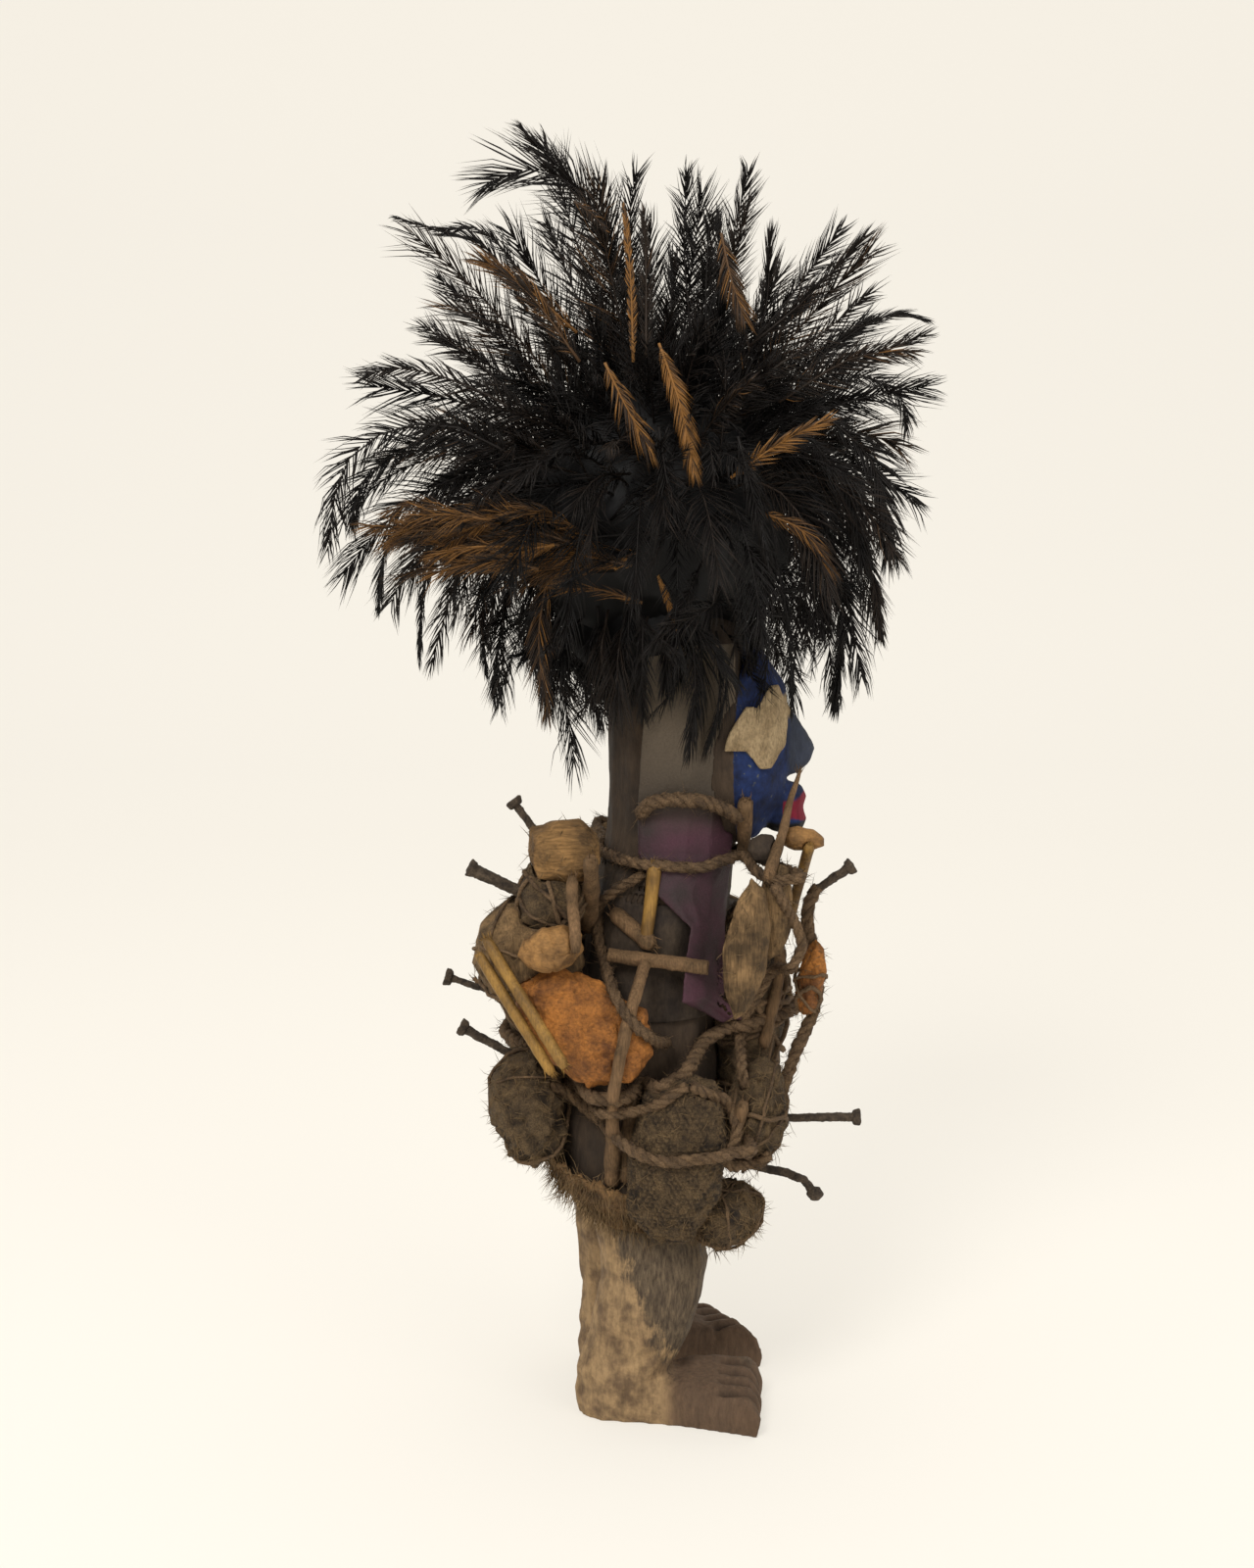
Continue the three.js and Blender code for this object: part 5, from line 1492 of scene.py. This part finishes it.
DRESSED = (
    DressedNode("trunk_hide", TRUNK_HIDE, Slot.DARK_HIDE, 1.8, 3, 0.9, lighten=0.3),
    DressedNode("purple_hide_strip", PURPLE_HIDE, Slot.PURPLE_HIDE, 1.0, 4, 0.5, (16, 16, 20), lighten=0.3),
    DressedNode("pale_patch_right", PALE_SKIN, Slot.PALE_SKIN, 0.8, 8, 0.5, (7, 7, 7), lighten=0.35),
    DressedNode("pale_patch_left", PALE_SKIN, Slot.PALE_SKIN, 1.0, 8, 0.5, (7, 7, 7), lighten=0.35),
    DressedNode("bark_block", BLOCK, Slot.BARK, 1.2, 4, 1.2, (20, 9, 9), 1.2, hairs=90),
    DressedNode("seed_pod", POD, Slot.POD, 0.9, 5, 0.8, (12, 12, 12), 1.6, lighten=0.7),
    DressedNode("orange_skin", ORANGE, Slot.ORANGE_SKIN, 1.3, 5, 1.8, (16, 16, 16), 2.2),
    DressedNode("leaf_packet", BARK, Slot.BARK, 1.2, 5, 1.0, (7, 7, 34), 0.6, hairs=60),
    DressedNode("bark_slab", BARK, Slot.BARK, 1.3, 4, 1.0, (7, 7, 30), 0.6, hairs=50),
    DressedNode("tan_pod", POD, Slot.POD, 1.0, 4, 0.8, (14, 8, 8), 0.6),
    DressedNode("dark_knob", TRUNK_HIDE, Slot.DARK_HIDE, 1.1, 4, 0.8, (6, 6, 6)),
    DressedNode("red_pod", ORANGE, Slot.ORANGE_SKIN, 1.1, 4, 1.2, (8, 8, 14), 1.0, wound=3, hairs=70),
    DressedNode("shoulder_wrap", FIBRE, Slot.PACKED, 1.5, 4, 1.8, (10, 10, 10), 1.4, wound=7, hairs=160),
    DressedNode("bark_dome", BARK, Slot.BARK, 1.6, 6, 1.6, (16, 16, 22), 1.4, wound=3, hairs=220),
    DressedNode("hip_bundle", FIBRE, Slot.PACKED, 1.5, 6, 2.8, (9, 9, 9), 2.4, wound=3, hairs=800),
    DressedNode("woven_bundle", FIBRE, Slot.PACKED, 1.2, 6, 0.8, (10, 10, 6), lighten=0.8, hairs=260, woven=True),
    DressedNode("fibre_ball", FIBRE, Slot.PACKED, 1.5, 6, 2.0, (8, 8, 8), 1.8, wound=5, cord=1.1, hairs=800),
    DressedNode("front_low_bundle", FIBRE, Slot.PACKED, 1.7, 6, 2.8, (10, 10, 10), 2.4, wound=5, hairs=450),
    DressedNode("belly_packet", FIBRE, Slot.PACKED, 2.4, 6, 2.4, (16, 16, 16), 2.0, wound=9, cord=2.0, hairs=200),
    DressedNode("back_bundle", FIBRE, Slot.PACKED, 2.4, 6, 2.4, (16, 16, 16), 2.0, wound=9, cord=2.0, hairs=240),
    DressedNode("left_hip_bundle", FIBRE, Slot.PACKED, 2.4, 6, 2.2, (14, 14, 14), 2.0, wound=9, cord=1.8, hairs=240),
    DressedNode("left_shoulder_packet", BARK, Slot.BARK, 2.4, 6, 1.8, (12, 12, 34), 1.4, wound=4, hairs=160),
    DressedNode("left_side_packet", TRUNK_HIDE, Slot.DARK_HIDE, 2.4, 6, 2.0, (18, 18, 18), 1.6, wound=5, hairs=120),
    DressedNode("left_low_bundle", FIBRE, Slot.PACKED, 1.9, 6, 1.6, (12, 12, 8), hairs=240, woven=True),
)


@dataclass
class Sticks:
    """The straight sticks and reeds, and the nails.

    Attributes:
        spacing: millimetres between the rings of a stick.
        sides: sides of its cross section.
    """

    spacing: float = 4.0
    sides: int = 10

    def build(self) -> None:
        """Builds every nail, stick and reed."""
        for node in sorted(frame["nodes"]):
            if node.startswith("nail"):
                shape = DressedNode(node, IRON, Slot.IRON, 0.8, 2, 0.5, (3, 3, 3), 0.3, swell=0.8)
                shape.build()
            elif node in ("bent_stick", "hollow_cane"):
                DressedNode(node, STICK, Slot.STICK, 0.9, 3, 0.5, (5, 5, 14), 0.3, lighten=0.5).build()
            elif "reed" in node or "stick" in node:
                self.stick(node, "reed" in node)

    def stick(self, node: str, reed: bool) -> None:
        """Builds one straight stick or reed where its node is."""
        data = frame["nodes"][node].data
        points = np.unique(np.round([v.co for v in data.vertices], 6), axis=0) / MM - SHIFT
        middle = points.mean(axis=0)
        axis = np.linalg.svd(points - middle)[2][0]
        reach = (points - middle) @ axis
        off = np.linalg.norm(points - middle - reach[:, None] * axis, axis=1)
        low, high = reach.min(), reach.max()
        wide = [off[np.abs(reach - end) < (high - low) * 0.2].max() for end in (low, high)]
        draw = np.random.default_rng(len(node) * 7 + ord(node[0]))
        count = max(8, int((high - low) / self.spacing))
        t = np.linspace(0, 1, count)
        line = middle + axis * mix(low, high, t)[:, None]
        line += np.stack([RIPPLE.at(line + 30 * k, 34, 2) for k in range(3)], axis=1) * (0.5 if reed else 1.3)
        radius = mix(wide[0], wide[1], t) * (1 + (0.03 if reed else 0.12) * RIPPLE.at(line + 9, 8, 2))
        radius = radius * (1 - 0.3 * (np.abs(t - 0.5) > 0.499))
        if reed:
            radius += 0.35 * np.exp(-(((t * (high - low) % 31) - 15) ** 2) / 4)
        pile = Pile()
        pile.add_tube(line, radius, self.sides, tone=float(draw.uniform(0.0, 0.35)))
        ends = draw.choice([0, count - 1], 26)
        spray = draw.normal(0, 1, (26, 3)) * 0.5 * radius[ends][:, None]
        outward = axis * np.where(ends > 0, 1.0, -1.0)[:, None]
        heading = unit(outward + draw.normal(0, 0.25, (26, 3)))
        add_hairs(pile, line[ends] + spray - outward * 3, heading, draw.uniform(4, 9, 26), 0.45, draw, 0.2)
        finish, slot = (REED, Slot.REED) if reed else (STICK, Slot.STICK)
        declare(pile.build(node + "_look", material_of(finish)), slot.value, node)


@dataclass
class Apron:
    """The torn bark cloth under the hips: its rim stands off like a lip and its skirt lies on the leg.

    Attributes:
        rim: heading about the upright axis in degrees, height and how far it stands off.
        hem: height of its lower edge at the same headings.
    """

    rim: tuple[tuple[float, float, float], ...] = (
        (-215, 186, 5), (-180, 188, 7), (-150, 192, 10), (-128, 190, 11), (-115, 188, 10),
        (-104, 184, 9), (-90, 178, 8), (-75, 174, 5), (-55, 176, 3),
    )
    hem: tuple[float, ...] = (160, 156, 158, 164, 150, 146, 144, 143, 146)
    columns: int = 90
    rows: int = 16

    def build(self) -> None:
        """Builds the cloth and its frayed fibres."""
        wood = Ground(["carved_figure"])
        sheet = bmesh.new()
        bmesh.ops.create_grid(sheet, x_segments=self.columns, y_segments=self.rows, size=0.5)
        heading, height, off = np.array(self.rim).T
        marks = np.linspace(0, 1, len(heading))
        draw = np.random.default_rng(8)
        ragged = draw.normal(0, 1.6, self.columns + 1)
        tones, roots, away = [], [], []
        for vertex in sheet.verts:
            u, v = vertex.co.x + 0.5, vertex.co.y + 0.5
            turn = degrees(np.interp(u, marks, heading))
            column = int(round(u * self.columns))
            top = np.interp(u, marks, height) + ragged[column]
            z = mix(np.interp(u, marks, self.hem), top, v)
            out = np.array([math.cos(turn), math.sin(turn), 0.0])
            axis = np.array([0.0, 0.0, z])
            found = wood.hit(axis + out * 200, -out)
            reach = np.linalg.norm(found - axis) if found is not None else 40.0
            place = axis + out * (reach + 1.2 + np.interp(u, marks, off) * v**2)
            place += out * 1.6 * float(RIPPLE.at(place[None], (7, 7, 16), 3)[0])
            vertex.co = Vector((place + SHIFT) * MM)
            tones.append(mix(0.25, 0.95, smoothstep(0.7, 1.0, v)) + 0.3 * float(RIPPLE.at(place[None], 6, 2)[0]))
            if draw.random() < 0.5:
                roots.append(place + out)
                away.append(out * 0.35 - UP * (1 if v < 0.9 else -0.4) + draw.normal(0, 0.35, 3))
        bmesh.ops.smooth_vert(sheet, verts=sheet.verts, factor=0.4, use_axis_x=True, use_axis_y=True, use_axis_z=True)
        data = bpy.data.meshes.new("apron")
        sheet.to_mesh(data)
        sheet.free()
        set_value(data, "tone", np.clip(tones, 0, 1))
        data.polygons.foreach_set("use_smooth", np.full(len(data.polygons), True))
        cloth = new_object("bark_cloth_apron", data, material_of(CLOTH))
        thick = cloth.modifiers.new("thickness", "SOLIDIFY")
        thick.thickness = 1.6 * MM
        thick.offset = 0
        declare(cloth, Slot.PACKED.value, "hip_sling")
        count = len(roots)
        add_hairs(STRINGS.hairs, np.array(roots), unit(np.array(away)), draw.uniform(7, 22, count), 0.32, draw, 0.3)


@dataclass
class Route:
    """Where a rope runs, as in the model: stops seen from the right, then round the hidden side.

    Attributes:
        node: the rope's node.
        stops: places as x and z, seen from the right.
        radius: the rope's radius.
        count: how many places are laid on the surface.
        closed: whether it goes all the way round.
        strands: strands that are twisted together.
    """

    node: str
    stops: tuple[tuple[float, float], ...]
    radius: float
    count: int = 13
    closed: bool = False
    strands: int = 3


ROUTES = (
    Route("chest_rope", ((-6, 404), (20, 404), (48, 402), (74, 405), (98, 398), (116, 400)), 4.2, closed=True),
    Route("waist_rope_upper", ((-58, 262), (-18, 250), (20, 256), (60, 280), (84, 286)), 5.4, closed=True),
    Route("waist_rope_lower", ((-52, 248), (-14, 224), (22, 212), (52, 214), (84, 216)), 4.6, closed=True),
    Route("shoulder_twine", ((12, 397), (-16, 375), (-20, 350), (-12, 330), (0, 312), (28, 280)), 4.2, 12),
    Route("front_cross_rope", ((98, 396), (110, 372), (118, 350), (104, 326), (86, 300), (78, 276), (80, 250)), 4.2, 12),
    Route("middle_twine", ((-44, 244), (-14, 238), (12, 244), (40, 262)), 4.2, 10),
    Route("low_front_rope", ((44, 262), (66, 246), (74, 226), (66, 204), (84, 196), (98, 204)), 4.4, 11),
)

NECK_ROPE = ((9, -50, 436), (16, -55, 445), (32, -59, 449), (52, -56, 446), (68, -48, 438), (76, -42, 431))
FRONT_ROPE = (
    (132, -18, 378), (125, -22, 362), (127, -26, 342), (132, -30, 316), (129, -32, 292), (117, -36, 262),
    (106, -40, 232), (98, -44, 206), (90, -46, 184),
)


class Ground:
    """The surfaces that ropes and fibres are laid on."""

    LOOK_FROM = 300.0

    def __init__(self, nodes: Iterable[str]) -> None:
        """Gathers nodes.

        Args:
            nodes: the names of the nodes to lay things on.
        """
        points, faces, base = [], [], 0
        for name in nodes:
            data = frame["nodes"][name].data
            points.extend(np.array(v.co) / MM - SHIFT for v in data.vertices)
            faces.extend([i + base for i in p.vertices] for p in data.polygons)
            base += len(data.vertices)
        self.tree = BVHTree.FromPolygons([Vector(p) for p in points], faces)

    def hit(self, start: np.ndarray, direction: np.ndarray) -> np.ndarray | None:
        """Gives the first place that a look meets."""
        found = self.tree.ray_cast(Vector(start), Vector(direction))[0]
        return None if found is None else np.array(found)

    def depth(self, x: float, z: float) -> float | None:
        """Gives the y of the surface seen from the figure's right."""
        found = self.hit(np.array([x, -self.LOOK_FROM, z]), np.array([0.0, 1.0, 0.0]))
        return None if found is None else float(found[1])

    def drape(self, route: Route) -> np.ndarray:
        """Lays a route's stops on the right side."""
        flat = curve_through([(x, 0, z) for x, z in route.stops], route.count + 1)
        depth = [self.depth(x, z) for x, _, z in flat]
        known = next(y for y in depth if y is not None)
        filled = [known if y is None else y for y in depth]
        laid = []
        for i, (x, _, z) in enumerate(flat):
            near = filled[max(0, i - 1) : i + 2]
            soft = mix(min(near), sum(near) / len(near), 0.35)
            laid.append((x, soft - route.radius, z))
        return np.array(laid)

    def around(self, route: Route, near: np.ndarray, hidden: int = 8) -> np.ndarray:
        """Carries a route on around the hidden side, from its last place to its first."""
        turn = [math.degrees(math.atan2(p[1], p[0] - BODY_X)) for p in (near[-1], near[0])]
        first = turn[0] + 22
        last = turn[1] + (360 if turn[1] < 0 else 0) - 22
        marks = []
        for i in range(hidden):
            t = (i + 0.5) / hidden
            heading = degrees(mix(first, last, t))
            out = np.array([math.cos(heading), math.sin(heading), 0.0])
            axis = np.array([BODY_X, 0.0, mix(near[-1][2], near[0][2], t)])
            found = self.hit(axis + out * self.LOOK_FROM, -out)
            reach = 60.0 if found is None else float(np.linalg.norm(found - axis))
            marks.append(axis + out * (reach + route.radius))
        return np.array(marks)


@dataclass
class Ropes:
    """Hand-twisted plant-fibre ropes, each of two or three strands, with stray fibres.

    Attributes:
        ground: what they lie on.
        turn: millimetres along the rope for one turn of a strand.
        step: millimetres between a strand's rings.
    """

    ground: Ground
    turn: float = 22.0
    step: float = 3.9

    def build(self) -> None:
        """Builds every rope."""
        for route in ROUTES:
            near = self.ground.drape(route)
            stops = near
            if route.closed:
                stops = np.vstack([near, self.ground.around(route, near)])
            self.twist(route.node, stops, route.radius, route.strands, route.closed)
        self.twist("neck_rope", np.array(NECK_ROPE, float), 5.6, 3)
        self.twist("front_rope", np.array(FRONT_ROPE, float), 5.0, 3)

    def twist(self, node: str, stops: np.ndarray, radius: float, strands: int, closed: bool = False) -> None:
        """Builds one rope along its stops."""
        draw = np.random.default_rng(len(node) * 31 + ord(node[0]))
        rough = curve_through(stops, 40, closed)
        if closed:
            rough = np.vstack([rough, rough[:1]])
        length = run_of(rough)
        steps = int(length / self.step)
        path = curve_through(stops, steps, closed)
        if closed:
            path = np.vstack([path, path[:2]])
        ripple = Ripple(len(node))
        path = path + np.stack([ripple.at(path + k * 50, 14, 2) for k in range(3)], axis=1) * 0.9
        _, side, up = frames_along(path)
        s = np.linspace(0, length, len(path))
        pile = Pile()
        for k in range(strands):
            phase = TAU * (s / self.turn + k / strands) + ripple.at(path, 30) * 0.5
            wobble = 1 + 0.18 * ripple.at(path + 90 * k, 7, 2)
            offset = (side * np.cos(phase)[:, None] + up * np.sin(phase)[:, None]) * radius * 0.46
            thick = radius * 0.56 * wobble
            pile.add_tube(path + offset, thick, 5, tone=float(draw.uniform(0.2, 0.8)))
        self.stray(pile, path, radius, length, draw)
        declare(pile.build(node + "_look", material_of(ROPE)), Slot.ROPE.value, node)

    @staticmethod
    def stray(pile: Pile, path: np.ndarray, radius: float, length: float, draw: np.random.Generator) -> None:
        """Adds the loose fibres that stand off a rope."""
        count = int(length * 2.2)
        index = draw.integers(0, len(path) - 1, count)
        along, side, up = frames_along(path)
        angle = draw.uniform(0, TAU, count)
        out = side[index] * np.cos(angle)[:, None] + up[index] * np.sin(angle)[:, None]
        start = path[index] + out * radius * 0.75
        ways = along[index] * draw.choice([-1, 1], count)[:, None]
        lean = unit(ways + out * draw.uniform(0.05, 0.6, count)[:, None] + draw.normal(0, 0.3, (count, 3)))
        add_hairs(pile, start, lean, draw.uniform(4, 13, count), 0.22, draw, curl=0.5)


def add_hairs(
    pile: Pile, start: np.ndarray, heading: np.ndarray, length: np.ndarray, width: float,
    draw: np.random.Generator, curl: float = 0.4, steps: int = 2,
) -> None:
    """Adds thin bent fibres.

    Args:
        pile: the mesh that they join.
        start: where each starts.
        heading: the direction in which each starts.
        length: the length of each.
        width: half their width.
        draw: the seeded source of their small differences.
        curl: how much they bend.
        steps: stretches along each.
    """
    shape = RODS[steps]
    count = len(start)
    bend = unit(heading + draw.normal(0, curl, (count, 3)))
    s = shape.along[None, :, None]
    swing = heading[:, None] * s + (bend - heading)[:, None] * s**2 / 2
    path = start[:, None] + length[:, None, None] * swing
    cross = unit(np.cross(heading, draw.normal(0, 1, (count, 3))))
    other = np.cross(heading, cross)
    taper = width * (1 - 0.6 * s)
    over = shape.around[None]
    places = path + (cross[:, None] * over[..., :1] + other[:, None] * over[..., 1:]) * taper
    pile.add(shape, places, tone=np.clip(draw.normal(0.5, 0.25, count), 0, 1))


class Studio:
    """The pale floor, the soft light and the camera."""

    CREAM = "f8f3e9"
    FLOOR_LIT = 0.4
    FLOOR_GLOW = 0.62
    SKY = "fdfbf7"
    SKY_STRENGTH = 0.52
    WARMTH = (1.0, 0.985, 0.96)
    CAMERA = (0.0, -1700.0, 796.0)
    PITCH = 11.6
    LENS = 57.3
    SENSOR = 36.0

    def build(self) -> None:
        """Builds the stage."""
        bpy.context.scene.view_settings.view_transform = "Standard"
        self.floor()
        self.light()
        self.camera()

    def floor(self) -> None:
        """Lays the floor, which rises into the backdrop."""
        profile = [(-4.0, 0.0), (1.4, 0.0), (2.2, 0.12), (2.9, 0.7), (3.2, 1.6), (3.3, 6.0)]
        line = curve_through([(0, y, z) for y, z in profile], 40)
        strip = bmesh.new()
        previous = None
        for _, y, z in line:
            pair = [strip.verts.new((x, y, max(z, 0.0))) for x in (6.0, -6.0)]
            if previous:
                strip.faces.new([previous[0], previous[1], pair[1], pair[0]])
            previous = pair
        data = bpy.data.meshes.new("floor")
        bmesh.ops.recalc_face_normals(strip, faces=strip.faces)
        strip.to_mesh(data)
        strip.free()
        data.polygons.foreach_set("use_smooth", np.full(len(data.polygons), True))
        made = bpy.data.materials.new("studio floor")
        made.use_nodes = True
        surface = made.node_tree.nodes["Principled BSDF"]
        cream = np.array(colour(self.CREAM))
        surface.inputs["Base Color"].default_value = (*(cream * self.FLOOR_LIT), 1)
        surface.inputs["Emission Color"].default_value = (*cream, 1)
        surface.inputs["Emission Strength"].default_value = self.FLOOR_GLOW
        surface.inputs["Roughness"].default_value = 1.0
        surface.inputs["Specular IOR Level"].default_value = 0.0
        new_object("studio_floor", data, made)

    def light(self) -> None:
        """Sets soft light from the front and above, and an even surround."""
        world = bpy.data.worlds.new("studio")
        bpy.context.scene.world = world
        world.use_nodes = True
        sky = world.node_tree.nodes["Background"]
        sky.inputs["Color"].default_value = (*colour(self.SKY), 1)
        sky.inputs["Strength"].default_value = self.SKY_STRENGTH
        for name, place, size, power in (
            ("key", (-0.9, -2.2, 2.6), 1.2, 60.0),
            ("fill", (1.6, -1.8, 1.4), 1.8, 14.0),
            ("top", (0.0, 0.3, 3.0), 2.2, 22.0),
        ):
            lamp = bpy.data.lights.new(name, "AREA")
            lamp.shape = "DISK"
            lamp.size = size
            lamp.energy = power
            lamp.color = self.WARMTH
            holder = bpy.data.objects.new(name, lamp)
            holder.location = place
            holder.rotation_euler = (Vector((0, 0, 0.45)) - Vector(place)).to_track_quat("-Z", "Y").to_euler()
            bpy.context.scene.collection.objects.link(holder)

    def camera(self) -> None:
        """Sets the camera where the picture was taken from."""
        lens = bpy.data.cameras.new("camera")
        lens.sensor_fit = "VERTICAL"
        lens.sensor_height = self.SENSOR
        lens.lens = self.LENS
        lens.clip_end = 30
        holder = bpy.data.objects.new("camera", lens)
        holder.location = Vector((np.array(self.CAMERA) + SHIFT) * MM)
        holder.rotation_euler = (degrees(90 - self.PITCH), 0, 0)
        bpy.context.scene.collection.objects.link(holder)
        bpy.context.scene.camera = holder


ROPE_NODES = {route.node for route in ROUTES} | {"neck_rope", "front_rope"}


def main() -> None:
    """Builds the stage and every sub-assembly."""
    logging.basicConfig(level=logging.INFO, format="%(name)s: %(message)s")
    Studio().build()
    CarvedFigure().build()
    for dressed in DRESSED:
        dressed.build()
    Sticks().build()
    Apron().build()
    left_out = ROPE_NODES | {"feather_headdress", "hip_sling"}
    ground = Ground(n for n in frame["nodes"] if n not in left_out and not n.startswith("nail"))
    Ropes(ground).build()
    STRINGS.build()
    Headdress().build()


if __name__ == "__main__":
    main()
